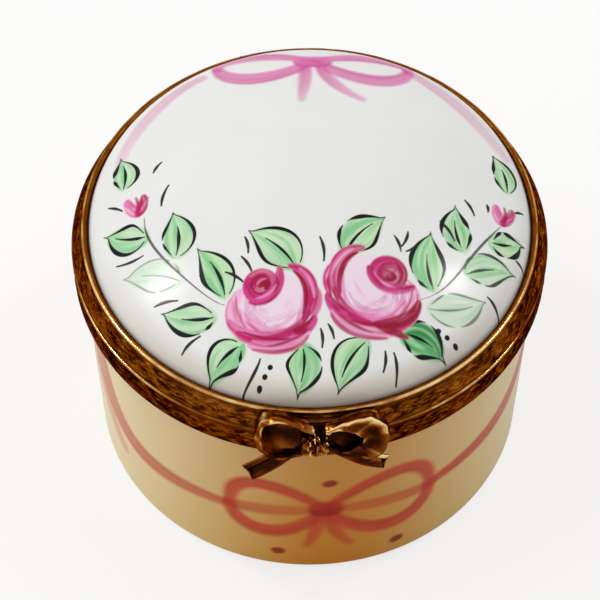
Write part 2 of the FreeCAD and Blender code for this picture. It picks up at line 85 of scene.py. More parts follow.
def grainAt(x, y):
    # value noise: the four table corners round a point, blended by the ease curve
    xi, yi = np.floor(x).astype(int), np.floor(y).astype(int)
    fx, fy = ease(x - xi), ease(y - yi)
    size = len(noiseTable)
    x0, x1, y0, y1 = xi % size, (xi + 1) % size, yi % size, (yi + 1) % size
    low = noiseTable[x0, y0] * (1 - fx) + noiseTable[x1, y0] * fx
    high = noiseTable[x0, y1] * (1 - fx) + noiseTable[x1, y1] * fx
    return low * (1 - fy) + high * fy


def bezier(control, count):
    # point at t: neighbouring control points are mixed by t until one is left
    points = np.repeat(np.asarray(control, float)[None], count, 0)
    t = np.linspace(0, 1, count)[:, None, None]
    while points.shape[1] > 1:
        points = points[:, :-1] * (1 - t) + points[:, 1:] * t
    return points[:, 0]


openGrid, ringGrid, hoopGrid = (False, False), (False, True), (True, True)  # do rows join round, do columns


def gridPoints(x, y, z):
    # rows and columns of points, from coordinates that may change along one of them only
    return np.stack(np.broadcast_arrays(x, y, z), -1)


def gridFaces(rows, columns, wrapRows, wrapColumns):
    # the four corner numbers of every cell; a wrapped side joins back on itself
    r = np.arange(rows if wrapRows else rows - 1)[:, None]
    c = np.arange(columns if wrapColumns else columns - 1)[None]
    rNext, cNext = (r + 1) % rows, (c + 1) % columns
    corners = [r * columns + c, r * columns + cNext, rNext * columns + cNext, rNext * columns + c]
    return np.stack(np.broadcast_arrays(*corners), -1).reshape(-1, 4)


def makePiece(name, points, material, body, replaced=(), wrap=openGrid, closed=False, values=None):
    # a grid of points in millimetres becomes a smooth mesh; poles are welded, closed shapes face out,
    # and each field of values has one number or one colour for each point
    faces = gridFaces(*points.shape[:2], *wrap)
    points = points.reshape(-1, 3)
    if closed:
        a, b, c, d = (points[faces[:, i]] for i in range(4))
        volume = (np.cross(b, c) * a).sum() + (np.cross(c, d) * a).sum()
        faces = faces[:, ::-1] if volume < 0 else faces
    kept, same = np.unique(np.round(points, 4), axis=0, return_index=True, return_inverse=True)[1:]
    points, faces = points[kept], same.ravel()[faces]
    corner = faces != np.roll(faces, 1, axis=1)  # a cell at a pole has one corner twice
    sides = corner.sum(1)
    loops = np.concatenate([faces[sides == 4].ravel(), faces[sides == 3][corner[sides == 3]]])
    quads, triangles = (sides == 4).sum(), (sides == 3).sum()
    starts = np.concatenate([np.arange(quads) * 4, quads * 4 + np.arange(triangles) * 3])
    mesh = bpy.data.meshes.new(name)
    mesh.vertices.add(len(points))
    mesh.vertices.foreach_set("co", (points * mm).astype(np.float32).ravel())
    mesh.loops.add(len(loops))
    mesh.loops.foreach_set("vertex_index", loops.astype(np.int32))
    mesh.polygons.add(len(starts))
    mesh.polygons.foreach_set("loop_start", starts.astype(np.int32))
    mesh.update(calc_edges=True)
    mesh.shade_smooth()
    mesh.materials.append(material)
    for field, value in (values or {}).items():
        value = np.asarray(value).reshape(same.size, -1)[kept]
        kind, entry = ("FLOAT", "value") if value.shape[1] == 1 else ("FLOAT_COLOR", "color")
        mesh.attributes.new(field, kind, "POINT").data.foreach_set(entry, value.astype(np.float32).ravel())
    piece = bpy.data.objects.new(name, mesh)
    bpy.context.scene.collection.objects.link(piece)
    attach(piece, body)
    if replaced:
        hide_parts(*replaced)


def roundedProfile(corners, step):
    # straight runs joined by arcs that touch both of them; each corner is (radius out, height, rounding)
    corners = np.asarray(corners, float)
    marks = [corners[:1, :2]]
    for before, here, after in zip(corners[:-2], corners[1:-1], corners[2:]):
        p, rounding = here[:2], here[2]
        into, out = before[:2] - p, after[:2] - p
        into, out = into / np.hypot(*into), out / np.hypot(*out)
        half = np.arccos(np.clip(into @ out, -1, 1)) / 2
        if rounding <= 0:
            marks.append(p[None])
            continue
        middle = (into + out) / np.hypot(*(into + out))
        centre = p + middle * rounding / np.sin(half)
        start = p + into * rounding / np.tan(half) - centre
        end = p + out * rounding / np.tan(half) - centre
        first = np.arctan2(start[1], start[0])
        turn = (np.arctan2(end[1], end[0]) - first + np.pi) % (2 * np.pi) - np.pi
        angle = first + turn * np.linspace(0, 1, max(5, int(abs(turn) * rounding / step) + 1))
        marks.append(centre + rounding * np.stack([np.cos(angle), np.sin(angle)], 1))
    marks.append(corners[-1:, :2])
    line = np.concatenate(marks)
    parts = []
    for a, b in zip(line[:-1], line[1:]):
        share = np.arange(max(1, int(np.hypot(*(b - a)) / step)))[:, None]
        parts.append(a + (b - a) * share / len(share))
    return np.concatenate(parts + [line[-1:]])


def turned(profile, columns):
    # the profile's (radius out, height) carried round the upright axis
    angle = fullTurn(columns)
    out, up = profile[:, :1], profile[:, 1:]
    return gridPoints(out * np.cos(angle), out * np.sin(angle), up)


def around(angle, r, z):
    # points at an angle from the front, out from the upright axis and up
    return gridPoints(r * np.sin(angle), -r * np.cos(angle), z)


# materials

def addNode(tree, kind, inputs=None, **settings):
    # a node with its settings; an input is a value, another node's output, or a node for its first output
    node = tree.nodes.new(kind)
    for key, value in settings.items():
        setattr(node, key, value)
    for key, value in (inputs or {}).items():
        value = value.outputs[0] if isinstance(value, bpy.types.Node) else value
        if isinstance(value, bpy.types.NodeSocket):
            tree.links.new(value, node.inputs[key])
        else:
            node.inputs[key].default_value = value
    return node


def emptyTree(owner):
    # the cleared node tree of a material or a world
    owner.use_nodes = True
    owner.node_tree.nodes.clear()
    return owner.node_tree


def newMaterial(name, *patterns):
    # a material with its noise patterns: cell size in millimetres, detail and roughness of each
    material = bpy.data.materials.new(name)
    tree = emptyTree(material)
    place = addNode(tree, "ShaderNodeTexCoord").outputs["Object"]
    made = [addNode(tree, "ShaderNodeTexNoise", {"Vector": place, "Scale": 1 / (size * mm), "Detail": detail,
                                                 "Roughness": rough}) for size, detail, rough in patterns]
    return material, tree, *made


def finishMaterial(material, surface, *reliefs):
    # each relief, a pattern with its strength and depth in millimetres, lies on the one before it;
    # they go with the colour and the gloss into one shader
    tree, normal = material.node_tree, {}
    for pattern, (strength, depth) in reliefs:
        bump = {"Height": pattern, "Strength": strength, "Distance": depth * mm, **normal}
        normal = {"Normal": addNode(tree, "ShaderNodeBump", bump)}
    shader = addNode(tree, "ShaderNodeBsdfPrincipled", {**surface, **normal})
    addNode(tree, "ShaderNodeOutputMaterial", {"Surface": shader})
    return material


glaze = {
    "white": ("e8e8e6", "dfdfdc"), "ivory": ("ecdcba", "e3d0a8"), "cloud": (6.0, 3.0, 0.5),
    "ripple": (3.5, 2.0, 0.5), "rippleRelief": (0.5, 0.006), "ink": "040303", "inkEdge": 0.035,
    "enamelRelief": (0.35, 0.02), "roughness": (0.17, 0.23), "ior": 1.5, "sheen": 0.18, "drumSheen": 0.06,
}


def glazedPorcelain(name, hues, sheen, painted):
    # fired feldspar glaze on porcelain: a glassy skin with long soft ripples over a faintly uneven body,
    # and enamels that stand a little proud where the brush left them
    material, tree, cloud, ripple = newMaterial(name, glaze["cloud"], glaze["ripple"])
    coats = [(cloud, rgba(hues[1]))]
    reliefs = [(ripple, glaze["rippleRelief"])]
    if painted:
        paint, reach, tone = (addNode(tree, "ShaderNodeAttribute", attribute_name=field).outputs
                              for field in ("enamel", "inkReach", "inkTone"))
        edge = glaze["inkEdge"]
        line = addNode(tree, "ShaderNodeMapRange",
                       {"Value": reach["Fac"], "From Min": -edge, "From Max": edge})
        line = addNode(tree, "ShaderNodeMath", {0: line, 1: tone["Fac"]}, operation="MULTIPLY")
        thick = addNode(tree, "ShaderNodeMath", {0: paint["Alpha"], 1: line}, operation="MAXIMUM")
        coats += [(paint["Alpha"], paint["Color"]), (line, rgba(glaze["ink"]))]
        reliefs += [(thick, glaze["enamelRelief"])]
    colour = rgba(hues[0])
    for cover, hue in coats:
        coat = addNode(tree, "ShaderNodeMix", {"Factor": cover, 6: colour, 7: hue}, data_type="RGBA")
        colour = coat.outputs[2]
    low, high = glaze["roughness"]
    gloss = addNode(tree, "ShaderNodeMapRange", {"Value": ripple, "To Min": low, "To Max": high})
    return finishMaterial(material, {"Base Color": colour, "Roughness": gloss, "IOR": glaze["ior"],
                                     "Specular IOR Level": sheen}, *reliefs)


brass = {  # the grit's wiping lines are about 0.09 mm apart, drawn three times as coarse to show
    "mottleRamp": {0.3: "863d08", 0.72: "b46c20"}, "cutTone": "341202", "patinaEdge": "6b3a14",
    "mottle": (1.3, 4.0, 0.6), "grit": (0.27, 2.0, 0.5), "gritRelief": (0.35, 0.02),
    "patinaGloss": (0.26, 0.46), "paintedShade": 0.62,
    # the ramp runs from bright gold for painted highlights to near black for tarnish and painted shade
    "tarnishAndLightRamp": {0.0: "ecca8a", 0.42: "9a5e20", 0.72: "6c2e0e", 1.0: "2c1308"}, "brightEdge": "d8b070",
    "wear": (1.44, 4.0, 0.6), "wearRange": (0.3, 0.7), "patches": (-0.14, 0.16), "dent": (0.54, 2.0, 0.5),
    "dentRelief": (0.4, 0.05), "scratch": (0.25, 2.0, 0.5), "scratchRelief": (0.2, 0.01),
    "brightGloss": (0.12, 0.34),
}


def antiqueBrass(name, shade):
    # rolled and engraved brass under a brown lacquer patina: dark red-brown, darker in every cut,
    # rubbed golden on the high spots, with a satin sheen that fine wiping lines break up
    # the shade argument darkens the whole copy, as painted shade for parts that sit in shade
    material, tree, mottle, grit = newMaterial(name, brass["mottle"], brass["grit"])
    cut = addNode(tree, "ShaderNodeAttribute", attribute_name="cut").outputs["Fac"]
    cutAndShade = addNode(tree, "ShaderNodeMath", {0: cut, 1: shade}, operation="ADD", use_clamp=True)
    tint = addNode(tree, "ShaderNodeValToRGB", {"Fac": mottle})
    for stop, (at, tone) in zip(tint.color_ramp.elements, brass["mottleRamp"].items()):
        stop.position = at
        stop.color = rgba(tone)
    colour = addNode(tree, "ShaderNodeMix", {"Factor": cutAndShade, 6: tint, 7: rgba(brass["cutTone"])},
                     data_type="RGBA").outputs[2]
    low, high = brass["patinaGloss"]
    gloss = addNode(tree, "ShaderNodeMapRange", {"Value": grit, "To Min": low, "To Max": high})
    return finishMaterial(material, {"Base Color": colour, "Roughness": gloss, "Metallic": 1.0,
                                     "Specular Tint": rgba(brass["patinaEdge"])}, (grit, brass["gritRelief"]))


def polishedBrass():
    # cast and buffed brass: bright gold with patches dulled by handling, brown tarnish and painted shade in
    # the hollows, painted highlights on folds and edges, and shallow buffing dents that break the highlights
    material, tree, wear, dent, scratch = newMaterial("polished_brass", brass["wear"], brass["dent"],
                                                      brass["scratch"])
    tarnishAndPaintedLight = addNode(tree, "ShaderNodeAttribute", attribute_name="tarnishAndPaintedLight").outputs["Fac"]
    limits = zip(("From Min", "From Max", "To Min", "To Max"), brass["wearRange"] + brass["patches"])
    patchy = addNode(tree, "ShaderNodeMapRange", {"Value": wear, **dict(limits)})
    shade = addNode(tree, "ShaderNodeMath", {0: tarnishAndPaintedLight, 1: patchy}, operation="ADD", use_clamp=True)
    colour = addNode(tree, "ShaderNodeValToRGB", {"Fac": shade})
    stops = colour.color_ramp.elements
    for at in list(brass["tarnishAndLightRamp"])[1:-1]:
        stops.new(at)
    for stop, tone in zip(stops, brass["tarnishAndLightRamp"].values()):
        stop.color = rgba(tone)
    low, high = brass["brightGloss"]
    gloss = addNode(tree, "ShaderNodeMapRange", {"Value": shade, "To Min": low, "To Max": high})
    return finishMaterial(material, {"Base Color": colour, "Roughness": gloss, "Metallic": 1.0,
                                     "Specular Tint": rgba(brass["brightEdge"])},
                          (dent, brass["dentRelief"]), (scratch, brass["scratchRelief"]))


bedding = {"tones": ("c3bdb0", "a29a8b"), "grain": (0.25, 5.0, 0.5), "relief": (1.0, 0.05), "roughness": 0.9}


def beddingCement():
    # lime plaster pressed in wet: chalky, pale grey-buff and grainy, with no gloss
    material, tree, grain = newMaterial("bedding_cement", bedding["grain"])
    pale, deep = (rgba(tone) for tone in bedding["tones"])
    tint = addNode(tree, "ShaderNodeMix", {"Factor": grain, 6: pale, 7: deep}, data_type="RGBA").outputs[2]
    return finishMaterial(material, {"Base Color": tint, "Roughness": bedding["roughness"]},
                          (grain, bedding["relief"]))


lidGlaze = glazedPorcelain("white_porcelain_glaze_painted", glaze["white"], glaze["sheen"], True)
drumGlaze = glazedPorcelain("ivory_porcelain_glaze_painted", glaze["ivory"], glaze["drumSheen"], True)
insideGlaze = glazedPorcelain("white_porcelain_glaze_inside", glaze["white"], glaze["sheen"], False)
patinaBrass = antiqueBrass("antique_brass_patina", 0.0)
brassInPaintedShade = antiqueBrass("antique_brass_painted_shade", brass["paintedShade"])
brightBrass = polishedBrass()
cement = beddingCement()
# the collars, the clasp tongue and the knuckles take the darker copy of the patina as painted shade
for finish, nodes in (
    (cement, ("base_cement_bed", "lid_cement_bed")),
    (brightBrass, ("hinge_pin", "catch_nib")),
    (brassInPaintedShade, ("base_collar", "lid_collar", "clasp_tongue", "base_knuckle_left", "base_knuckle_centre",
                   "base_knuckle_right", "lid_knuckle_left", "lid_knuckle_right")),
):
    for node in nodes:
        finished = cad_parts[node].data.materials
        finished.clear()
        finished.append(finish)
print("materials made, CAD nodes finished")


# brush work: a canvas is a set of points with flat coordinates in millimetres

strokes = {"bristle": 0.22, "margin": 0.45}  # a bristle's mark, and how far past the brush to look


def newCanvas(flat):
    count = len(flat)
    return {"at": flat, "hue": np.ones((count, 3)), "cover": np.zeros(count),
            "ink": np.full(count, -1.0), "tone": np.ones(count)}


def painted(canvas):
    return {"enamel": np.concatenate([canvas["hue"], canvas["cover"][:, None]], 1), "inkReach": canvas["ink"],
            "inkTone": canvas["tone"]}


def brushReach(canvas, path, half):
    # half width of the brush less the distance to its path, with the place along and across the stroke
    half = np.broadcast_to(half, len(path))
    low = path.min(0) - half.max() - strokes["margin"]
    high = path.max(0) + half.max() + strokes["margin"]
    at = canvas["at"]
    near = np.flatnonzero(((at > low) & (at < high)).all(1))
    point = at[near][:, None]
    run = np.diff(path, axis=0)
    along = np.clip(((point - path[:-1]) * run).sum(2) / np.maximum((run ** 2).sum(1), 1e-12), 0, 1)
    gap = point - path[:-1] - along[..., None] * run
    distance = np.sqrt((gap ** 2).sum(2))
    width = half[:-1] + along * np.diff(half)
    best = (width - distance).argmax(1)
    row = np.arange(len(near))
    side = np.sign(run[best, 0] * gap[row, best, 1] - run[best, 1] * gap[row, best, 0])
    reach = (width - distance)[row, best]
    across = np.clip(side * distance[row, best] / np.maximum(width[row, best], 1e-6), -1, 1)
    return near, reach, (best + along[row, best]) / len(run), across


def layEnamel(canvas, near, hue, cover):
    # the new coat over what is there already
    old = canvas["cover"][near]
    total = cover + old * (1 - cover)
    share = ((cover + 1e-4) / (total + 1e-4))[:, None]
    canvas["hue"][near] = hue * share + canvas["hue"][near] * (1 - share)
    canvas["cover"][near] = total


def brush(canvas, path, half, hues, cover, soft, streak=0.5, edge=0.0, fade=0.0):
    # a loaded brush: the first hue on the stroke's right, the second on its left, streaked along its run
    near, reach, along, across = brushReach(canvas, path, half)
    first, second = linear(hues[0]), linear(hues[1])
    shift = float(path[0, 0]) * 3.1 + float(path[0, 1]) * 1.7  # every stroke has its own streaks
    bristle = across * np.mean(half) / strokes["bristle"]
    lines = grainAt(bristle + shift + 40, along * 2.5 + shift) - 0.5
    lines = lines + 0.6 * (grainAt(bristle * 1.9 + shift + 70, along * 4 + shift) - 0.5)
    mix = ease(0.5 + 0.4 * across + streak * lines)[:, None]
    veil = cover * (1 + edge * (np.abs(across) ** 3 - 0.5)) * (1 + 0.35 * streak * lines) * (1 - fade * along)
    veil = np.clip(veil, 0, 1) * ease(0.5 + reach / (2 * soft))
    layEnamel(canvas, near, first * (1 - mix) + second * mix, veil)
    return near, reach


def inkStroke(canvas, path, thick, tone=1.0, heavy=0.5, least=0.045):
    # black line: thin where the brush lands and lifts, thickest at the share of its run called heavy
    t = np.linspace(0, 1, len(path))
    swell = np.where(t < heavy, ease(t / heavy), ease((1 - t) / (1 - heavy)))
    near, reach = brushReach(canvas, path, least + (thick - least) * swell)[:2]
    lead = reach > canvas["ink"][near]
    canvas["ink"][near[lead]] = reach[lead]
    canvas["tone"][near[lead]] = tone


def sideways(path):
    # unit normals on the left of a flat path
    run = np.gradient(path, axis=0)
    run = run / np.maximum(np.hypot(run[:, 0], run[:, 1])[:, None], 1e-9)
    return np.stack([-run[:, 1], run[:, 0]], 1)


def heading(angle):
    # unit step at an angle in degrees
    return np.array([np.cos(np.radians(angle)), np.sin(np.radians(angle))])


leaf = {"pale": "b5dba9", "mid": "82c588", "dark": "2b8742", "soft": 0.16, "streak": 1.1, "outline": 0.2,
        "vein": 0.17, "least": 0.06, "overlap": 0.04, "curl": 0.18}


def paintLeaf(canvas, base, tip, width, curl, cover=0.85, hues=("pale", "mid")):
    # half width along the midrib is a sine hump leaning to the stalk; outline and vein are broken ink lines
    base, tip = np.asarray(base, float), np.asarray(tip, float)
    length = np.hypot(*(tip - base))
    along = (tip - base) / length
    left = np.array([-along[1], along[0]])
    rib = bezier([base, (base + tip) / 2 + left * leaf["curl"] * curl * length, tip], 40)
    half = width / 2 * np.sin(np.pi * np.linspace(0, 1, len(rib)) ** 0.85) ** 0.9
    brush(canvas, rib, half + leaf["overlap"], [leaf[h] for h in hues], cover, leaf["soft"], leaf["streak"])
    normal = sideways(rib)
    # outlines fade with the leaf's cover; the palest leaves stand under a painted highlight
    tone = min(1.0, 0.2 + cover)
    for side in (-1, 1):
        rim = rib + side * normal * (half * random.uniform(1.0, 1.1) + leaf["overlap"])[:, None]
        rim[-1] = tip + along * random.uniform(0.1, 0.5)
        thick = leaf["outline"] * tone * random.uniform(0.8, 1.2)
        gap = int(random.uniform(8, 30))
        if gap > 19:  # one unbroken side, heaviest past its middle
            inkStroke(canvas, rim[2:], thick, tone, random.uniform(0.35, 0.7), leaf["least"])
        else:
            inkStroke(canvas, rim[2:gap], thick * 0.8, tone, 0.6, leaf["least"])
            inkStroke(canvas, rim[gap + 3:], thick, tone, 0.4, leaf["least"])
    start, stop = int(random.uniform(0, 5)), int(random.uniform(26, 34))
    inkStroke(canvas, rib[start:stop], leaf["vein"] * tone * random.uniform(0.8, 1.1), tone,
              random.uniform(0.25, 0.6), leaf["least"])


rose = {
    "wash": "ebd4e2", "washDeep": "d47fb4", "light": "edb0d0", "pink": "e07ab0", "petal": "ce4088",
    "magenta": "bd1f62", "crimson": "9c0a3e", "red": "8f0a28", "bud": 0.39, "budAt": (-0.26, 0.48),
    # first angle, ring and half width of the strokes in the bowl
    "bowl": [(150, 0.6, 0.2), (170, 0.42, 0.2), (190, 0.56, 0.2), (215, 0.6, 0.16), (240, 0.44, 0.18),
             (255, 0.58, 0.12)],
    # turn, hues and half width of the petals of a closed bud
    "budPetals": [(22, "petal", "pink", 0.3), (32, "pink", "light", 0.12), (-24, "crimson", "magenta", 0.27),
                  (-36, "petal", "pink", 0.09), (-2, "crimson", "magenta", 0.1)],
}
rosePetals = [  # path of the stroke in rose radii, half width, hue on its right and on its left, cover
    ([(-0.62, 0.42), (-0.98, 0.2), (-0.9, -0.3)], 0.13, "pink", "light", 0.7),
    ([(-0.9, 0.2), (-1.0, -0.35), (-0.55, -0.68)], 0.15, "petal", "light", 0.8),
    ([(-0.72, 0.0), (-0.66, -0.4), (-0.25, -0.56)], 0.07, "light", "petal", 0.75),
    ([(-0.8, 0.3), (-0.84, -0.1), (-0.6, -0.45)], 0.03, "magenta", "petal", 0.8),
    ([(-0.62, -0.1), (-0.5, -0.42), (-0.1, -0.55), (0.3, -0.5)], 0.06, "pink", "light", 0.7),
    ([(0.68, 0.5), (0.72, 0.05), (0.46, -0.36)], 0.07, "pink", "light", 0.6),
    ([(0.36, 0.9), (0.86, 0.76), (0.94, 0.12), (0.62, -0.3)], 0.14, "petal", "magenta", 0.95),
    ([(0.44, 0.76), (0.72, 0.56), (0.74, 0.1), (0.6, -0.2)], 0.06, "red", "crimson", 0.92),
    ([(0.56, 0.82), (0.86, 0.6), (0.86, 0.15)], 0.045, "light", "pink", 0.8),
    ([(0.94, 0.34), (1.02, 0.0), (0.78, -0.32)], 0.08, "magenta", "pink", 0.92),
    ([(-0.98, -0.22), (-0.72, -0.66), (-0.1, -0.8), (0.52, -0.46)], 0.13, "magenta", "pink", 0.92),
    ([(-0.3, -0.68), (0.2, -0.72), (0.56, -0.5), (0.74, -0.12)], 0.09, "crimson", "magenta", 0.9),
    ([(-0.8, -0.5), (-0.25, -0.94), (0.46, -0.88), (0.86, -0.34)], 0.15, "petal", "magenta", 0.95),
    ([(0.4, -0.58), (0.68, -0.6), (0.86, -0.28)], 0.11, "petal", "crimson", 0.9),
    ([(-0.58, -0.8), (-0.05, -1.03), (0.46, -0.95), (0.72, -0.6)], 0.085, "light", "pink", 0.92),
    ([(-0.5, -0.88), (0.05, -1.06), (0.5, -0.98), (0.7, -0.68)], 0.05, "magenta", "crimson", 0.92),
    ([(-0.5, -0.7), (0.0, -0.86), (0.46, -0.74)], 0.045, "light", "pink", 0.7),
    ([(-0.66, -0.5), (-0.2, -0.74), (0.3, -0.72)], 0.035, "red", "crimson", 0.85),
    ([(-0.2, -0.84), (0.2, -0.84), (0.52, -0.66)], 0.03, "red", "crimson", 0.8),
]


def arcPath(centre, radius, first, last, count=30):
    # part of a circle round a centre, from the first angle to the last
    angle = np.radians(np.linspace(first, last, count))
    return np.asarray(centre) + radius * np.stack([np.cos(angle), np.sin(angle)], 1)


def paintRose(canvas, centre, radius, turn, mirror, budTurn, accents):
    # a pale bowl, curved petals brushed round its lower side, and a rolled bud at the top of it
    spin = np.array([heading(turn), heading(turn + 90)])
    budSpin = np.array([heading(budTurn), heading(budTurn + 90)])

    def stroke(path, half, first, second, cover, streak=1.5, soft=0.1, swell=0.65):
        placed = np.asarray(centre) + radius * (path * (mirror, 1)) @ spin
        t = np.linspace(0, 1, len(placed))
        width = radius * half * (1 - swell + swell * np.sin(np.pi * t) ** 0.6)
        hues = (rose[first], rose[second]) if mirror > 0 else (rose[second], rose[first])
        near, reach = brush(canvas, placed, width, hues, cover, soft, streak)
        canvas["ink"][near] = np.minimum(canvas["ink"][near], -reach)  # petals lie over the leaves' ink

    def budStroke(path, *loaded):
        stroke(np.array(rose["budAt"]) + path @ budSpin * (mirror, 1), *loaded)

    stroke(arcPath((0.02, -0.02), 0.12, 20, 160), 0.68, "wash", "wash", 0.94, 0.5, 0.3, 0.0)
    for first, ring, half in rose["bowl"]:
        stroke(arcPath((0.05, 0.02), ring, first, first + 95), half, "washDeep", "wash", 0.6, 2.0, 0.3)
    stroke(arcPath((-0.1, 0.3), 0.5, 230, 340), 0.1, "light", "wash", 0.55, 1.8, 0.3)
    for control, half, first, second, cover in rosePetals + accents:
        stroke(bezier(control, 36), half, first, second, cover)
    size = rose["bud"]
    budStroke(arcPath((0, 0), size * 0.2, 0, 300), size * 0.82, "magenta", "crimson", 0.97, 1.6, 0.1, 0.0)
    budStroke(arcPath((0.02, 0.0), size * 0.84, 140, 300), size * 0.24, "petal", "magenta", 0.95)
    budStroke(bezier([(-0.24, -0.34), (0.2, -0.4), (0.44, -0.04), (0.4, 0.4)], 30), 0.13, "crimson", "petal",
              0.97)
    budStroke(arcPath((0.0, 0.03), size * 0.56, 60, 215), size * 0.09, "petal", "crimson", 0.85)
    budStroke(bezier([(-0.1, 0.02), (-0.04, 0.16), (0.1, 0.15)], 20), size * 0.07, "light", "pink", 0.7)
    budStroke(arcPath((0.05, 0.0), size * 0.2, -70, 110), size * 0.16, "crimson", "red", 0.95)
    budStroke(bezier([(-0.12, -0.27), (0.16, -0.26), (0.32, 0.0)], 20), 0.03, "light", "pink", 0.7)


def paintBud(canvas, base, angle, size):
    # two fat petals that open from the stem like a tulip, feathered at their tips, with a dark stroke between
    base = np.array(base)
    for turn, first, second, half in rose["budPetals"]:
        along = heading(angle + turn)
        side = heading(angle + turn + 90 * np.sign(turn))
        path = bezier([base, base + along * size * 0.5 + side * size * 0.16, base + along * size], 24)
        half = size * half * (0.55 + 0.45 * np.sin(np.pi * np.linspace(0, 1, len(path)) ** 0.7))
        brush(canvas, path, half, (rose[first], rose[second]), 0.94, 0.1, 1.8)


ribbon = {  # deep hue and paler hue, softness in millimetres, streaks, and how much darker the edges are
    "lidBow": {"hues": ("c9468f", "d977b0"), "soft": 0.28, "streak": 1.1, "edge": 0.12},
    "lidSwag": {"hues": ("c9468f", "d977b0"), "soft": 0.28, "streak": 1.1, "edge": 0.25},
    "drum": {"hues": ("b22a14", "c83a26"), "soft": 0.42, "streak": 0.7, "edge": 0.05},
}


def paintRibbon(canvas, kind, control, half, cover, swell=0.25, grow=0.0, fade=0.0):
    # a watery stroke, a little darker at both edges, wider in the middle of its run or growing along it
    path = bezier(control, 40)
    t = np.linspace(0, 1, len(path))
    half = half * (1 - swell + 2 * swell * np.sin(np.pi * t)) * (1 + grow * t)
    brush(canvas, path, half, cover=cover, fade=fade, **ribbon[kind])


# lid: crown sphere, rounded shoulder and skirt

lid = {"corner": 29.7, "shoulder": 3.0, "wall": 2.2, "innerRounding": 1.5, "footRounding": 0.3, "cells": 430,
       "columns": 360, "step": 0.35}
lidLow, lidHigh = span("porcelain_lid")
lidRadius, lidTop, lidFoot = lidHigh[0], lidHigh[2], lidLow[2]
crownRise = lidTop - lid["corner"]
crownRadius = (lidRadius ** 2 + crownRise ** 2) / (2 * crownRise)
crownCentre = lidTop - crownRadius


def crownLine(radius, rounding, side, count=160):
    # from the axis: an arc about the crown's centre, then the shoulder's arc that touches it and the side
    across = side - rounding
    rise = np.sqrt((radius - rounding) ** 2 - across ** 2)
    meet = np.arctan2(across, rise)
    a = np.linspace(0, meet, count)
    crown = np.stack([radius * np.sin(a), crownCentre + radius * np.cos(a)], 1)
    b = np.linspace(meet, np.pi / 2, count // 4)[1:]
    turn = np.stack([across + rounding * np.sin(b), crownCentre + rise + rounding * np.cos(b)], 1)
    return np.concatenate([crown, turn])


def buildDome():
    # a square grid laid on a disk: the larger of |a| and |b| gives the ring, their ratio the angle on it;
    # painted as one and made in two halves, so that each has cells as fine as the brush work
    side = np.linspace(-1, 1, lid["cells"] + 1)
    a, b = np.meshgrid(side, side)
    ring = np.maximum(np.abs(a), np.abs(b))
    small, big = np.where(np.abs(a) > np.abs(b), b, a), np.where(np.abs(a) > np.abs(b), a, b)
    turn = np.pi / 4 * small / np.where(big == 0, 1, big)
    angle = np.where(np.abs(a) > np.abs(b), turn + np.pi * (a < 0), np.pi / 2 - turn + np.pi * (b < 0))
    line = crownLine(crownRadius, lid["shoulder"], lidRadius)
    length = np.concatenate([[0], np.cumsum(np.hypot(*np.diff(line, axis=0).T))])
    r = np.interp(ring * length[-1], length, line[:, 0])
    z = np.interp(ring * length[-1], length, line[:, 1])
    points = gridPoints(r * np.cos(angle), r * np.sin(angle), z)
    painting = paintLid(points[..., :2].reshape(-1, 2))
    middle = lid["cells"] // 2
    for half, rows in (("front", slice(0, middle + 1)), ("back", slice(middle, None))):
        values = {field: value.reshape(*ring.shape, -1)[rows] for field, value in painting.items()}
        makePiece("lid_painted_" + half, points[rows], lidGlaze, "lid", ["porcelain_lid"],
                  values=values)


def buildLidHollow():
    # inside of the crown, bore, lower rim and skirt, up to where the shoulder starts, carried round the axis
    inner, rounding = lidRadius - lid["wall"], lid["footRounding"]
    hollow = crownLine(crownRadius - lid["wall"], lid["innerRounding"], inner, 120)
    skirtTop = crownLine(crownRadius, lid["shoulder"], lidRadius)[-1]
    rim = roundedProfile([(*hollow[-1], 0), (inner, lidFoot, rounding), (lidRadius, lidFoot, rounding),
                          (*skirtTop, 0)], lid["step"])
    points = turned(np.concatenate([hollow[:-1], rim]), lid["columns"])
    makePiece("lid_hollow", points, insideGlaze, "lid", ["porcelain_lid"], ringGrid)


lidBow = {
    "knot": (1.0, 17.5), "knotEnds": [(-1.0, 0.0), (1.0, -0.1)], "knotHalf": 0.95, "cover": 0.9,
    # side, and the loop's end and the tail's end as seen from the knot
    "loops": [(-1, (-9.2, -0.3), (-1.3, -6.2)), (1, (9.2, -1.3), (4.5, -6.2))],
    "swagRing": 19.2, "swagFrom": 31, "swagTo": 74, "swagWave": [0.3, -0.5, 0.5, -0.4, 0.6],
}


def paintLidBow(canvas):
    # two open loops at the back, a tail and a swag along the rim on each side, and the knot over them
    knot, cover = np.array(lidBow["knot"]), lidBow["cover"]
    for side, end, tail in lidBow["loops"]:
        end = np.array(end)
        high = [knot, knot + end * 0.5 + (0, 2.2), knot + end * 1.1 + (0, 1.7), knot + end]
        paintRibbon(canvas, "lidBow", high, 0.55, cover)
        low = [knot + end, knot + end * 0.95 + (0, -2.2), knot + end * 0.5 + (0, -3.8), knot]
        paintRibbon(canvas, "lidBow", low, 0.74, cover, 0.2)
        tail = [knot + (0.6 * side, 0), knot + (0.9 * side, -3.8), knot + tail]
        paintRibbon(canvas, "lidBow", tail, 0.6, 1.0, 0.2, -0.3, 0.45)
        first, last = (90 - side * lidBow[at] for at in ("swagFrom", "swagTo"))
        swag = arcPath((0, 0), lidBow["swagRing"], first, last, 5)
        swag += sideways(swag) * np.array(lidBow["swagWave"])[:, None]
        paintRibbon(canvas, "lidSwag", swag, 0.5, 0.6, 0.2, 0.0, 0.45)
    brush(canvas, knot + lidBow["knotEnds"], lidBow["knotHalf"], ribbon["lidBow"]["hues"], cover, 0.25)


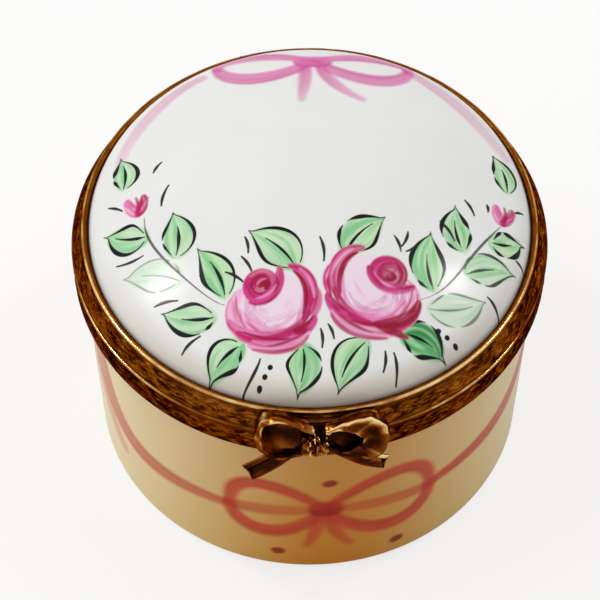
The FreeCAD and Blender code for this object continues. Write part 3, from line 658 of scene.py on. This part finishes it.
bouquet = {
    # centre, radius, turn, mirror, turn of the bud, and petals that only this rose has
    "roses": [((-3.75, -12.6), 4.3, 0, 1, 0, []), ((5.2, -11.35), 4.5, -14, -1, -58, [
        ([(-0.98, 0.06), (-0.96, -0.48), (-0.2, -0.66)], 0.13, "red", "crimson", 0.97),
        ([(-0.9, -0.74), (-0.62, -0.72), (-0.26, -0.7)], 0.08, "crimson", "red", 0.92)])],
    # base and tip of each leaf, its width and the side its midrib bows to, then any cover and hues of its own
    "leaves": [((-1.6, -9.0), (-5.6, -5.0), 3.4, -1), ((3.0, -7.6), (6.6, -3.9), 3.1, 1),
               ((-6.9, -15.9), (-9.7, -18.3), 2.9, -1), ((-1.3, -16.4), (-1.9, -20.2), 2.9, 1),
               ((4.6, -16.0), (1.9, -20.1), 2.8, -1),
               ((7.8, -15.2), (11.4, -16.9), 3.0, 1, 0.95, ("mid", "dark"))],
    # start, course and length of each comma stroke
    "ticks": [((-8.1, -8.8), -38, 2.2), ((-6.6, -7.4), -62, 2.0), ((-6.2, -5.4), -82, 1.7),
              ((0.7, -5.9), -84, 2.5), ((7.6, -5.6), -72, 1.7), ((8.9, -5.1), -112, 1.7),
              ((9.9, -6.2), 218, 1.6), ((0.4, -14.9), -88, 1.7), ((1.1, -14.5), -70, 1.4),
              ((-5.2, -17.3), 234, 3.2), ((6.2, -16.9), -98, 1.8), ((7.0, -17.0), -88, 2.4),
              ((-12.3, -15.8), 36, 2.1)],
    "tick": 0.16, "tickLeast": 0.09, "stem": 0.13,
    "dots": [((-4.33, -18.1), 236), ((11.2, -14.7), -34)], "dot": 0.24, "dotStep": 0.92,
    # painted warm shade along the lid's front rim: its tint, its cover and its width in millimetres
    "rimShadeTint": "c2a878", "rimShadeCover": 0.35, "rimShadeWidth": 2.4,
}
# the leaf of cover 0.34 in the first spray and the leaf of cover 0.45 in the second are paled as a painted
# highlight over them
sprays = [
    {"stem": [(-8.3, -12.0), (-10.4, -11.2), (-12.6, -7.4), (-15.8, -5.2), (-15.5, -1.4)],
     "leaves": [((-8.2, -11.3), (-10.5, -6.3), 2.6, -1, 0.9), ((-12.7, -6.5), (-12.8, -1.8), 2.8, -1, 0.85),
                ((-9.2, -13.0), (-13.8, -11.9), 2.7, 1, 0.8), ((-12.3, -9.0), (-17.2, -7.7), 3.2, -1, 0.34),
                ((-15.4, -3.6), (-18.9, -2.6), 2.9, 1, 0.8), ((-17.5, 2.5), (-17.7, 6.2), 2.1, -1, 0.85)],
     "bud": ((-16.1, -0.9), 98, 2.0),
     "ticks": [((-18.9, 0.7), -30, 1.5), ((-14.6, 3.7), 55, 1.4), ((-13.9, -0.5), 72, 2.4),
               ((-15.7, -5.6), 190, 2.5), ((-14.7, -11.0), 4, 2.1)]},
    {"stem": [(9.7, -11.9), (12.8, -10.9), (13.8, -8.0), (15.2, -6.2), (17.7, -3.2)],
     "leaves": [((11.0, -10.9), (11.0, -5.3), 2.9, 1, 0.9), ((14.0, -6.6), (13.6, -2.0), 2.6, 1, 0.85),
                ((10.4, -12.7), (15.5, -11.4), 3.0, -1, 0.45), ((14.1, -8.9), (18.4, -8.0), 3.0, 1, 0.7),
                ((16.8, -5.1), (19.5, -4.6), 2.5, -1, 0.85), ((18.7, 0.9), (17.7, 5.2), 1.9, -1, 0.85)],
     "bud": ((18.0, -2.8), 84, 1.9),
     "ticks": [((12.0, -3.6), -58, 2.3), ((14.5, -0.8), -64, 1.8), ((16.6, -0.9), -86, 0.8),
               ((19.3, -1.2), 20, 0.8), ((16.0, -10.8), -52, 1.8), ((19.0, -6.4), -28, 0.8)]},
]


def paintTick(canvas, place, angle, length):
    # a comma stroke that bends a little to the left of its course
    place = np.array(place)
    path = bezier([place, place + heading(angle + 16) * length * 0.5, place + heading(angle) * length], 18)
    inkStroke(canvas, path, bouquet["tick"], 0.97, 0.4, bouquet["tickLeast"])


def paintLid(flat):
    # painted warm shade along the front rim, then the ribbon bow, leaves, sprays, comma strokes, roses and
    # rows of dots
    canvas = newCanvas(flat)
    x, y = flat.T
    shadeWidth = bouquet["rimShadeWidth"]
    rimShade = ease((np.hypot(x, y) - lidRadius + shadeWidth) / shadeWidth) * ease(-y / lidRadius)
    layEnamel(canvas, np.arange(len(flat)), linear(bouquet["rimShadeTint"]), bouquet["rimShadeCover"] * rimShade)
    paintLidBow(canvas)
    for shape in bouquet["leaves"]:
        paintLeaf(canvas, *shape)
    for spray in sprays:
        for shape in spray["leaves"]:
            paintLeaf(canvas, *shape)
        inkStroke(canvas, bezier(spray["stem"], 60), bouquet["stem"], 0.85, heavy=0.8)
        paintBud(canvas, *spray["bud"])
        for tick in spray["ticks"]:
            paintTick(canvas, *tick)
    for tick in bouquet["ticks"]:
        paintTick(canvas, *tick)
    for flower in bouquet["roses"]:
        paintRose(canvas, *flower)
    for place, angle in bouquet["dots"]:
        for k in range(3):
            spot = np.array(place) + heading(angle) * bouquet["dotStep"] * k
            inkStroke(canvas, np.array([spot, spot + (0.02, 0)]), bouquet["dot"], least=bouquet["dot"])
    return painted(canvas)


buildDome()
buildLidHollow()
print("lid turned and painted")


# drum: foot ring, rounded foot, tapered wall, bore and floor

drum = {"footRadius": 20.8, "footRounding": 0.6, "wallTop": 22.9, "ring": 18.3, "ringRounding": 0.3,
        "recess": 0.7, "recessRounding": 0.4, "recessEdge": 1.2, "bore": 19.5, "rimRounding": 0.4,
        "floorRadius": 18.6, "floor": 3.3, "floorRounding": 2.0, "columns": 690, "step": 0.2,
        "insideColumns": 360, "insideStep": 0.4}
drumRadius, drumRim = span("porcelain_base")[1][[0, 2]]


def buildDrum():
    # the outer profile runs from under the foot to the rim and the inner one from the rim to the floor,
    # both carried round the axis; the flat recess under the foot is one fan of faces
    wall = roundedProfile([(0, drum["recess"], 0), (drum["ring"], drum["recess"], drum["recessRounding"]),
                           (drum["ring"], 0, drum["ringRounding"]),
                           (drum["footRadius"], 0, drum["footRounding"]), (drumRadius, drum["wallTop"], 0),
                           (drumRadius, drumRim, 0)], drum["step"])
    wall = np.concatenate([wall[:1], wall[wall[:, 0] > drum["ring"] - drum["recessEdge"]]])
    points = turned(wall, drum["columns"])
    makePiece("drum_painted_wall", points, drumGlaze, "base", ["porcelain_base"], ringGrid,
              values=paintDrum(points.reshape(-1, 3)))
    bore = roundedProfile([(drumRadius, drumRim, 0), (drum["bore"], drumRim, drum["rimRounding"]),
                           (drum["floorRadius"], drum["floor"], drum["floorRounding"]),
                           (0, drum["floor"], 0)], drum["insideStep"])
    points = turned(bore, drum["insideColumns"])
    makePiece("drum_hollow", points, insideGlaze, "base", ["porcelain_base"], ringGrid)


garland = {  # places are millimetres round the drum from its front and up from the foot
    # hue of each painted warm shade wash, its width in degrees, its cover at the rim and the painted shade
    # that the foot adds; their middle lies a little right of the front
    "shadeWashes": [("dcbe64", 64, 0.5, 0.35), ("c47a0c", 33, 0.8, 0.13)], "shadeMiddle": 4.5,
    "cover": 0.9, "knot": "941000", "knotAt": (0.6, 11.2), "knotEnds": [(-0.3, 0), (0.6, 0)],
    "knotHalf": 1.35,
    "loops": [
        {"side": -1, "end": (-9.4, -1.0), "top": 5.2, "low": -5.6, "tail": (-1.7, -6.9), "swagCover": 0.85,
         "swag": [(-9.4, 10), (-14, 10), (-19, 8.8), (-23.2, 8.2), (-25.4, 11.4), (-26.6, 16.5), (-28, 23)]},
        {"side": 1, "end": (10.9, -0.8), "top": 5.8, "low": -6.2, "tail": (2.7, -6.9), "swagCover": 1.02,
         "swag": [(11.3, 10.8), (15.9, 11.6), (20.9, 11.6), (25.1, 11.4), (27.6, 14.2), (29.4, 18.6),
                  (31.6, 24.2)]}],
    "fork": [(-29.9, 19.5), (-28.2, 12.5), (-25.6, 8.5), (-23.4, 6.2)],
    "dot": "8a2c00", "dotHalf": 0.6, "dotEnds": [(-0.14, -0.03), (0.14, 0.03)],
    "dots": [(0.5, 4.7), (-4.6, -8.3), (7.6, -8.6)],
}


def paintBow(canvas):
    # open loops each with a fold through it, two tails, then a swag up to the collar on both sides
    knot, cover = np.array(garland["knotAt"]), garland["cover"]
    for loop in garland["loops"]:
        side, top, low, end = loop["side"], loop["top"], loop["low"], np.array(loop["end"])
        over = [knot, knot + (0.42 * end[0], top), knot + (1.02 * end[0], top * 1.15), knot + end]
        paintRibbon(canvas, "drum", over, 0.78, cover)
        under = [knot + end, knot + (0.98 * end[0], low * 0.9), knot + (0.4 * end[0], low * 1.2), knot]
        paintRibbon(canvas, "drum", under, 0.9, cover)
        fold = [knot + end, knot + end * 0.6 + (0, 0.1), knot]
        paintRibbon(canvas, "drum", fold, 0.95, cover * 0.8, 0.1, -0.2, 0.25)
        tail = [knot + (side * 0.5, -0.8), knot + (side * 0.6, -4.4), knot + loop["tail"]]
        paintRibbon(canvas, "drum", tail, 0.72, cover, 0.15, -0.3, 0.3)
        paintRibbon(canvas, "drum", loop["swag"], 0.8, cover * loop["swagCover"], 0.1, 1.7)
    paintRibbon(canvas, "drum", garland["fork"], 1.25, cover * 0.6, 0.1, -0.2, 0.3)
    hues = (garland["knot"], ribbon["drum"]["hues"][0])
    brush(canvas, knot + garland["knotEnds"], garland["knotHalf"], hues, cover, 0.4)
    for off in garland["dots"]:
        brush(canvas, knot + off + garland["dotEnds"], garland["dotHalf"], [garland["dot"]] * 2, 1.0, 0.18)


def paintDrum(at):
    # painted warm shade washes fade from the front by a bell curve and deepen to the foot as painted shade;
    # the back copies the front
    angle = np.arctan2(at[:, 0], -at[:, 1])
    side = np.where(np.abs(angle) > np.pi / 2, np.sign(angle) * np.pi - angle, angle)
    canvas = newCanvas(np.stack([side * drumRadius, at[:, 2]], 1))
    low = ease(1 - at[:, 2] / drumRim)
    for hue, width, cover, footShade in garland["shadeWashes"]:
        spread = bell(np.degrees(side), garland["shadeMiddle"], width)
        layEnamel(canvas, np.arange(len(at)), linear(hue), (cover + footShade * low) * spread)
    paintBow(canvas)
    return painted(canvas)


buildDrum()
print("drum turned and painted")


# collars: engraved bands laid on the CAD collars, and the burnished beads

collar = {
    "plate": 0.1, "cutDepth": 0.09, "sunk": 0.06, "edge": 0.14, "cutFade": 0.2, "hingeGap": 18.5,
    "repeats": 34, "tile": 56, "rows": 36, "line": 0.1, "leafLength": 0.42, "flank": 0.09,
    "baseInset": (0.12, 0.1),
    "lidBand": (26.2, 27.88), "leanFrom": 26.03, "lidTop": 28.1, "lidTopOut": 21.55, "beadColumns": 720,
    "beadSides": 16, "beadWander": 0.07,
    "rubbed": [(-55, 26, 0.85), (40, 20, 0.74)],  # painted highlights on the beads where the lamps reflect: angle from the front, width in degrees and share
}
collarLow, collarHigh = span("base_collar")
collarRadius = collarHigh[0]
leanAngle = np.arctan2(collarRadius - collar["lidTopOut"], collar["lidTop"] - collar["leanFrom"])


def engravedTile(length, height):
    # one repeat of raised work: a wavy vine, a spiral scroll in each bend and small leaves along its back
    line = collar["line"]
    u = (np.arange(collar["tile"]) + 0.5) / collar["tile"] * length
    v = np.linspace(0, height, collar["rows"])
    flat = np.stack(np.meshgrid(u, v), -1).reshape(-1, 2)
    canvas = newCanvas(flat)
    t = np.linspace(-0.1, 1.1, 60)
    vine = np.stack([t * length, height * (0.5 + 0.3 * np.sin(2 * np.pi * t))], 1)
    inkStroke(canvas, vine, line, least=0.07)
    for share, side in ((-0.25, -1), (0.25, 1), (0.75, -1), (1.25, 1)):
        middle = np.array([share * length, height * (0.5 - 0.13 * side)])
        turn = np.radians(np.linspace(200, -250, 50) * side)
        reach = height * np.linspace(0.3, 0.06, 50)[:, None]
        scroll = middle + reach * np.stack([np.cos(turn) * 1.25, np.sin(turn)], 1)
        inkStroke(canvas, scroll, line, heavy=0.9, least=0.05)
        for k in range(6):
            rise = height * 0.42 * side * np.cos((k - 2.5) * 0.35)
            root = middle + ((k - 2.6) * length * 0.085, rise)
            tip = heading(side * (30 + 16 * k)) * collar["leafLength"]
            path = bezier([root, root + tip * 0.5 + heading(side * 130) * 0.1, root + tip], 10)
            inkStroke(canvas, path, line, least=0.02)
    raised = ease(canvas["ink"] / collar["flank"] + 0.15)
    beads = np.sin(2 * np.pi * flat[:, 0] / (length / 16)) * np.sin(2 * np.pi * flat[:, 1] / (height / 7))
    depth = (1 - raised) * (0.72 + 0.28 * (0.5 + 0.5 * beads))
    return depth.reshape(collar["rows"], collar["tile"])


def buildBand(name, body, lowZ, highZ, lean):
    # band points stand off the collar by the plate less the engraving, and sink into it at every border
    slant = (highZ - lowZ) / np.cos(lean)
    sweep = np.radians(180 - collar["hingeGap"])
    depth = np.tile(engravedTile(2 * sweep * collarRadius / collar["repeats"], slant), collar["repeats"])
    angle = np.linspace(-sweep, sweep, depth.shape[1])[None]
    v = np.linspace(0, 1, collar["rows"])[:, None]
    fromEdge = np.minimum(np.minimum(v, 1 - v) * slant, (sweep - np.abs(angle)) * collarRadius)
    rubbed = 0.7 * grainAt(angle * 12 + 50, v * 2.5) + 1.0 * grainAt(angle * 34 + 60, v * 11) - 0.35
    near = np.clip(fromEdge / collar["edge"], 0, 1)
    height = (collar["plate"] + collar["sunk"]) * np.sqrt(1 - (1 - near) ** 2) - collar["sunk"]
    height = height - collar["cutDepth"] * depth * ease(fromEdge / collar["cutFade"]) * (0.75 + 0.4 * rubbed)
    z = lowZ + v * (highZ - lowZ)
    r = collarRadius - np.maximum(z - collar["leanFrom"], 0) * np.tan(lean) + height * np.cos(lean)
    streaks = grainAt(angle * 36 + 20, v * 18 + 5) - 0.5
    deep = 0.3 + 0.42 * depth + 0.8 * (0.5 - rubbed) + 0.75 * streaks + 0.5 * (1 - ease(near))
    makePiece(name, around(angle, r, z + height * np.sin(lean)), patinaBrass, body,
              values={"cut": np.clip(deep, 0, 1)})


def castPiece(name, points, tarnishAndPaintedLight, replaced=(), wrap=ringGrid):
    # closed brass from rings of points
    makePiece(name, points, brightBrass, "lid", replaced, wrap, True, {"tarnishAndPaintedLight": tarnishAndPaintedLight})


def buildBead(name, out, up, radius, dull, gap=0.0):
    # round wire whose radius wanders a little, as burnishing by hand leaves it, with a gap for the hinge;
    # it has painted highlights at both sides, where the lamps reflect in it, and is dull elsewhere
    sweep = np.radians(180 - gap)
    angle = np.linspace(-sweep, sweep, collar["beadColumns"], endpoint=gap > 0)[:, None]
    section = fullTurn(collar["beadSides"])[None]
    c, s = np.cos(angle), np.sin(angle)
    wander = radius * (1 + collar["beadWander"] * (grainAt(c * 24 + 40, s * 24 + 40) - 0.5))
    points = around(angle, out + wander * np.cos(section), up + wander * np.sin(section))
    tarnishAndPaintedLight = dull + 0.25 * (grainAt(c * 14 + 80, s * 14 + 20) - 0.5) + 0 * section
    for middle, width, share in collar["rubbed"]:
        tarnishAndPaintedLight = tarnishAndPaintedLight - dull * share * bell(np.degrees(angle), middle, width)
    if gap:
        points, tarnishAndPaintedLight = capEnds(points), capValues(tarnishAndPaintedLight)
    castPiece(name, points, np.clip(tarnishAndPaintedLight, 0, 1), wrap=ringGrid if gap else hoopGrid)


def capValues(grid):
    # values for the two rings that capEnds adds
    return np.concatenate([grid[:1], grid, grid[-1:]])


def capEnds(grid):
    # the first and last ring drawn together to their middles
    ends = [np.broadcast_to(ring.mean(1, keepdims=True), ring.shape) for ring in (grid[:1], grid[-1:])]
    return np.concatenate([ends[0], grid, ends[1]])


lowInset, highInset = collar["baseInset"]
buildBand("base_band_engraved", "base", collarLow[2] + lowInset, collarHigh[2] - highInset, 0.0)
buildBand("lid_band_engraved", "lid", *collar["lidBand"], leanAngle)
buildBead("lid_rim_bead", out=21.44, up=28.18, radius=0.19, dull=0.34)
buildBead("lid_seam_bead", out=22.5, up=25.98, radius=0.15, dull=0.85, gap=collar["hingeGap"])
print("collars engraved")


# bow clasp, in its own frame: x to the right, y back into the collar, z up along the leaning band

bow = {
    "out": 22.5, "up": 26.9, "sweep": 13.0, "sides": 56, "faceTarnishAndShade": 0.8, "hollowShade": 1.2,
    "rows": 220, "start": 0.5, "neck": 0.95, "width": 2.0, "thick": 0.32, "middle": -1.5, "blunt": 1.7,
    "fullness": 1.18, "foldAt": 0.62, "pleat": 0.16, "pleats": 1.6, "pleatRun": 1.5, "crinkle": 0.13,
    "webRows": 12, "webBack": 0.5, "webDish": 0.25,
    "knotRows": 110, "knotSides": 150, "knotWidth": 1.35, "knotDepth": 1.2, "knotHeight": 1.05,
    "knotMiddle": -1.45, "knotLeft": 0.5, "knotLow": 0.45, "knotGrain": 0.26, "knotFolds": 2.1,
    "cleft": 0.8, "cleftAt": 0.5, "cleftHalf": 0.3,
    "tailRows": 80, "tailStart": 0.75, "tailMiddle": -0.5, "tailThick": 0.44, "tailWidth": 1.7,
    "tailWave": 0.16, "tailCrease": 0.42, "notch": 0.5,
}
loopShapes = {  # rise is the loop's half height; narrow, pinch and lift bend it, glow lights its inside
    "bow_left_loop": {"side": -1, "length": 5.3, "rise": 1.85, "narrow": 0.08, "pinch": 0.05, "lift": -0.08,
                      "glow": 0.85},
    "bow_right_loop": {"side": 1, "length": 5.65, "rise": 1.9, "narrow": 0.86, "pinch": 0.36, "lift": -0.55,
                       "glow": 0.3},
}
tailShapes = {  # drop is the slope in degrees, up the height of its root, wide a share of the tail's width
    "bow_left_tail": {"side": -1, "length": 7.2, "drop": 34.0, "twist": 0.4, "up": -0.8, "tipGlint": 0.0,
                      "wide": 1.0},
    "bow_right_tail": {"side": 1, "length": 6.0, "drop": 25.0, "twist": 1.6, "up": -1.65, "tipGlint": 1.0,
                       "wide": 0.82},
}
sweepBack = np.tan(np.radians(bow["sweep"]))  # how far the bow falls back for each millimetre from its middle


def bowPlace(x, y, z):
    # turned back by the lid band's lean and moved to the collar's front
    c, s = np.cos(leanAngle), np.sin(leanAngle)
    return gridPoints(x, -bow["out"] + y * c + z * s, bow["up"] - y * s + z * c)


def buildLoop(node, side, length, rise, narrow, pinch, lift, glow):
    # ribbon section carried round a drop-shaped path, wide at the loop's end and pleated at the knot; past
    # the fold its front part bends in: narrow lowers it towards a slot and pinch draws its far end in
    theta = np.linspace(0, 2 * np.pi, bow["rows"])[:, None]
    section = fullTurn(bow["sides"])[None]
    far = (1 - np.cos(theta)) / 2
    width = bow["width"] * (0.78 + 0.28 * np.sin(theta / 2) ** 2)
    w = width / 2 * power(np.cos(section), 0.5)
    forward = -2 * w / bow["width"]  # 1 at the front edge of the ribbon, -1 at the back
    drop = bow["fullness"] * (rise * np.sin(theta) * np.abs(np.sin(theta / 2)) ** bow["blunt"])
    neck = bow["neck"] * np.cos(theta / 2)
    bent = np.clip((forward - bow["foldAt"]) / (1 - bow["foldAt"]), 0, 1)
    x = bow["start"] + length * far * (1 - pinch * bent)
    z = drop * (1 - narrow * bent * ease(far * 2.5)) + neck + lift * far
    runX = np.gradient(length * far[:, 0])
    runZ = np.gradient((drop + neck)[:, 0])
    long = np.hypot(runX, runZ)
    runX, runZ = (runX / long)[:, None], (runZ / long)[:, None]
    thick = bow["thick"] / 2 * power(np.sin(section), 0.8) * (1 + 0.35 * np.abs(np.cos(section)) ** 5)
    atNeck = np.exp(-far * length / bow["pleatRun"])
    pleats = bow["pleat"] * atNeck * np.cos(2 * np.pi * bow["pleats"] * w / bow["width"] + theta)
    crinkle = bow["crinkle"] * (grainAt(theta * 4.4 + 40 + side, forward * 1.6 + 9) - 0.5)
    n = thick + pleats + 2 * crinkle
    px = x - runZ * n
    pz = z + runX * n
    py = bow["middle"] + w + far * length * sweepBack + 0.1 * np.sin(2 * theta + side) * far
    # tarnish and painted light: a streaked face darkened by tarnish and by painted dark reflection, lighter
    # on the crinkles' bulges as painted highlight; a hollow in painted shade, lit at the loop's end by
    # painted light; painted highlights on folds, creases and shoulders; edges rubbed bright
    inside = ease(0.5 - 6 * thick / bow["thick"])
    streaks = grainAt(theta * 1.5 + 20 * (side + 2), forward * 4 + 5)
    faceTarnishAndLight = bow["faceTarnishAndShade"] * (0.62 + 0.62 * streaks) - 1.5 * crinkle
    # painted shade on the front facet past the fold, which faces down
    faceTarnishAndLight = faceTarnishAndLight + 0.3 * narrow * ease((forward - bow["foldAt"]) * 6)
    hollow = bow["hollowShade"] - glow * ease(far * 2 - 0.7)
    tarnishAndPaintedLight = faceTarnishAndLight + (hollow - faceTarnishAndLight) * inside
    rubbed = 0.9 * grainAt(theta * 2.9 + 11 * side + 70, forward + 3) ** 2
    rubbed = rubbed + 0.55 * ease(-2 * np.sin(theta))  # painted shade on the edges of the under side
    crease = bell(grainAt(theta * 1.7 + 7 * side + 90, forward * 0.9 + 17), 0.5, 0.07)
    top = ease(np.sin(theta) * 4)
    fold = bell(forward, bow["foldAt"], 0.09) * top * narrow * (0.5 + grainAt(theta * 5 + 30, forward))
    shoulder = bell(far, 0.86, 0.07) * top * (forward < bow["foldAt"])
    paintedGlints = 0.35 * crease + 1.2 * fold + 0.7 * shoulder  # painted highlights on the crinkles, the fold and the loop's shoulders
    tarnishAndPaintedLight = tarnishAndPaintedLight - paintedGlints * (1 - inside) * ease(far * 6)
    # painted highlights on the neck beside the cleft
    byCleft = power(np.cos(theta / 2), 0.2) * np.exp(-far * length / 0.45)
    tarnishAndPaintedLight = tarnishAndPaintedLight - 0.5 * byCleft
    tarnishAndPaintedLight = tarnishAndPaintedLight + (rubbed - tarnishAndPaintedLight) * np.abs(np.cos(section)) ** 6
    points = capEnds(bowPlace(side * px, py, pz))
    castPiece(node + "_ribbon", points, capValues(np.clip(tarnishAndPaintedLight, 0, 1.2)), [node])
    # a web closes the loop's back: the path is drawn in to the loop's long axis and dished back
    share = np.linspace(0, 1, bow["webRows"])[None]
    webX = bow["start"] + length * far + 0 * share
    webY = bow["middle"] + bow["webBack"] * bow["width"] / 2 + far * length * sweepBack
    webY = webY + bow["webDish"] * (1 - share ** 2)
    web = bowPlace(side * webX, webY, (drop + neck) * share + lift * far)
    # the web's dark colour is painted shade, lighter towards the loop's end
    webShade = 1.08 - 0.7 * ease(far * 1.5) * share ** 0.9
    makePiece(node + "_web", web[:, ::side], brightBrass, "lid", [node],
              values={"tarnishAndPaintedLight": webShade[:, ::side]})


def buildKnot():
    # a squared oval swept along x, gathered in folds, grained like cast metal and split by a cleft at the top
    x = np.linspace(-1, 1, bow["knotRows"])[:, None]
    turn = fullTurn(bow["knotSides"])[None]
    shrink = (1 - np.abs(x) ** 3.2) ** (1 / 3.2)
    folds = 1 + 0.05 * np.cos(2 * np.pi * (x * bow["knotFolds"] + 0.12 * np.sin(3 * turn)))
    c, s = np.cos(turn), np.sin(turn)
    grain = grainAt(x * 6.5 + 17, c * 4.5 + 33) + grainAt(x * 6.5 + 51, s * 4.5 + 70) - 1
    size = shrink * folds * (1 + bow["knotGrain"] * grain)
    y = bow["knotMiddle"] + bow["knotDepth"] * size * power(c, 0.75)
    z = bow["knotHeight"] * size * power(s, 0.75)
    cleft = np.clip(1 - np.abs(x - bow["cleftAt"]) / bow["cleftHalf"], 0, 1) * np.clip(s, 0, 1)
    points = bowPlace(x * bow["knotWidth"] - bow["knotLeft"], y, z - bow["cleft"] * cleft - bow["knotLow"])
    # darker in the cleft as painted shade; darker in the grain's pits as tarnish and lighter on its bumps as
    # painted glints
    castPiece("bow_knot_band", points, np.clip(0.76 - 1.0 * grain + 0.4 * cleft, 0.0, 1.2), ["bow_knot"])


def buildTail(node, side, length, drop, twist, up, tipGlint, wide):
    # ribbon end folded along its middle, with a notch cut in its tip
    s = np.linspace(0, 1, bow["tailRows"])[:, None]
    section = fullTurn(bow["sides"])[None]
    width = bow["tailWidth"] * wide * (0.68 + 0.36 * ease(s * 1.4))
    across = power(np.cos(section), 0.6)
    w = width / 2 * across
    run = s * (length - bow["notch"] * (1 - np.abs(across)))
    tipRound = np.sqrt(np.clip(1 - np.clip((s - 0.96) / 0.04, 0, 1) ** 2, 0, 1))
    thick = bow["tailThick"] / 2 * power(np.sin(section), 0.8) * tipRound
    fold = bell(across, 0.12, 0.26) * ease(s * 3)
    ax, az = np.cos(np.radians(drop)), -np.sin(np.radians(drop))
    wave = bow["tailWave"] * np.sin(5.0 * s + twist)
    x = bow["tailStart"] + run * ax - w * az
    z = up + run * az + w * ax + wave * 0.8
    y = bow["tailMiddle"] + thick + bow["tailCrease"] * fold * (1 - 0.7 * (thick > 0))
    y = y + (x - 0.9) * sweepBack - 0.12 * np.sin(np.pi * s)
    # darker along the crease as painted shade; edges rubbed bright at random
    tarnishAndPaintedLight = bow["faceTarnishAndShade"] * (0.9 + 0.4 * grainAt(s * 3 + 12, across * 4 + 30)) + 0.7 * fold
    rubbed = 0.8 * grainAt(s * 7 + 31 * side + 60, across + 3) ** 2
    tarnishAndPaintedLight = tarnishAndPaintedLight + (rubbed - tarnishAndPaintedLight) * np.abs(np.cos(section)) ** 9
    tarnishAndPaintedLight = tarnishAndPaintedLight - tipGlint * ease((s - 0.7) / 0.12) * ease(across * 2 + 0.8)  # painted highlight near the tip
    points = capEnds(bowPlace(side * x, y, z))
    castPiece(node + "_ribbon", points, capValues(np.clip(tarnishAndPaintedLight, 0, 1.2)), [node])


for loopNode, loopShape in loopShapes.items():
    buildLoop(loopNode, **loopShape)
buildKnot()
for tailNode, tailShape in tailShapes.items():
    buildTail(tailNode, **tailShape)
print("bow clasp made")


# stage, light and camera

stage = {"floor": 4000, "floorTint": "f4f3f1", "floorGlow": 0.72, "world": 0.43}
lamps = {  # direction from the box, size and distance in millimetres, power in watts, seen in reflections
    "left_soft_box": ((-0.45, 0.0, 0.89), 300, 600, 0.53, False),
    "left_glint": ((-0.515, 0.25, 0.82), 48, 450, 0.4, True),
    "right_soft_box": ((0.5, 0.0, 0.86), 300, 600, 0.46, False),
    "right_glint": ((0.53, 0.224, 0.82), 40, 450, 0.28, True),
    "left_fill": ((-0.9, -0.15, 0.42), 400, 700, 0.95, False),
}
lampAim = 20  # height of the point that the lamps face, in millimetres


def whiteBackground():
    # the background is white to the camera and in reflections, and a plain soft level for everything else
    world = bpy.data.worlds.new("studio")
    bpy.context.scene.world = world
    tree = emptyTree(world)
    path = addNode(tree, "ShaderNodeLightPath")
    seen = path.outputs["Is Camera Ray"]
    for ray in ("Is Glossy Ray", "Is Transmission Ray"):
        seen = addNode(tree, "ShaderNodeMath", {0: seen, 1: path.outputs[ray]}, operation="MAXIMUM")
    soft, white = (addNode(tree, "ShaderNodeBackground", {"Color": (1, 1, 1, 1), "Strength": level})
                   for level in (stage["world"], 1.0))
    both = addNode(tree, "ShaderNodeMixShader", {0: seen, 1: soft, 2: white})
    addNode(tree, "ShaderNodeOutputWorld", {"Surface": both})


def paleFloor():
    # matt paper; to the camera it also glows, so that it stays white and keeps a light shadow
    half = stage["floor"] / 2
    points = np.array([[-half, -half, 0], [half, -half, 0], [half, half, 0], [-half, half, 0]], float)
    mesh = bpy.data.meshes.new("studio_floor")
    mesh.from_pydata((points * mm).tolist(), [], [(0, 1, 2, 3)])
    material = bpy.data.materials.new("studio_paper")
    tree = emptyTree(material)
    seen = addNode(tree, "ShaderNodeLightPath").outputs["Is Camera Ray"]
    paper = addNode(tree, "ShaderNodeBsdfDiffuse", {"Color": rgba(stage["floorTint"])})
    glow = addNode(tree, "ShaderNodeEmission", {"Color": (1, 1, 1, 1), "Strength": 1.0})
    share = addNode(tree, "ShaderNodeMath", {0: seen, 1: stage["floorGlow"]}, operation="MULTIPLY")
    both = addNode(tree, "ShaderNodeMixShader", {0: share, 1: paper, 2: glow})
    addNode(tree, "ShaderNodeOutputMaterial", {"Surface": both})
    mesh.materials.append(material)
    floor = bpy.data.objects.new("studio_floor", mesh)
    bpy.context.scene.collection.objects.link(floor)


def addLamp(name, toward, size, far, watts, mirrored):
    # a round soft box that faces the object
    lamp = bpy.data.lights.new(name, "AREA")
    lamp.shape = "DISK"
    lamp.size = size * mm
    lamp.energy = watts
    toward = Vector(toward).normalized()
    holder = bpy.data.objects.new(name, lamp)
    holder.location = toward * far * mm + Vector((0, 0, lampAim * mm))
    holder.rotation_euler = (-toward).to_track_quat("-Z", "Y").to_euler()
    holder.visible_glossy = mirrored
    bpy.context.scene.collection.objects.link(holder)


view = {"elevation": 54.34, "azimuth": -2.5, "far": 321.5, "lens": 197.0, "sensor": 36.0, "targetUp": 15.0,
        "aimLeft": 0.91, "aimUp": 0.47}


def photoCamera():
    # the camera stands on the line from the target at the photograph's angle and aims a little to its left
    e, a = np.radians(view["elevation"]), np.radians(view["azimuth"])
    back = np.array([np.sin(a) * np.cos(e), -np.cos(a) * np.cos(e), np.sin(e)])
    right = np.array([np.cos(a), np.sin(a), 0])
    up = np.cross(back, right)
    target = np.array([0, 0, view["targetUp"]])
    place = target + back * view["far"]
    aim = target - right * view["aimLeft"] + up * view["aimUp"]
    lens = bpy.data.cameras.new("photo_camera")
    lens.sensor_width, lens.lens = view["sensor"], view["lens"]
    camera = bpy.data.objects.new("photo_camera", lens)
    camera.location = Vector(place * mm)
    camera.rotation_euler = Vector(aim - place).to_track_quat("-Z", "Y").to_euler()
    bpy.context.scene.collection.objects.link(camera)
    bpy.context.scene.camera = camera


whiteBackground()
paleFloor()
for lampName, lampSettings in lamps.items():
    addLamp(lampName, *lampSettings)
photoCamera()
bpy.context.scene.view_settings.view_transform = "Standard"
print("stage, lamps and camera set")
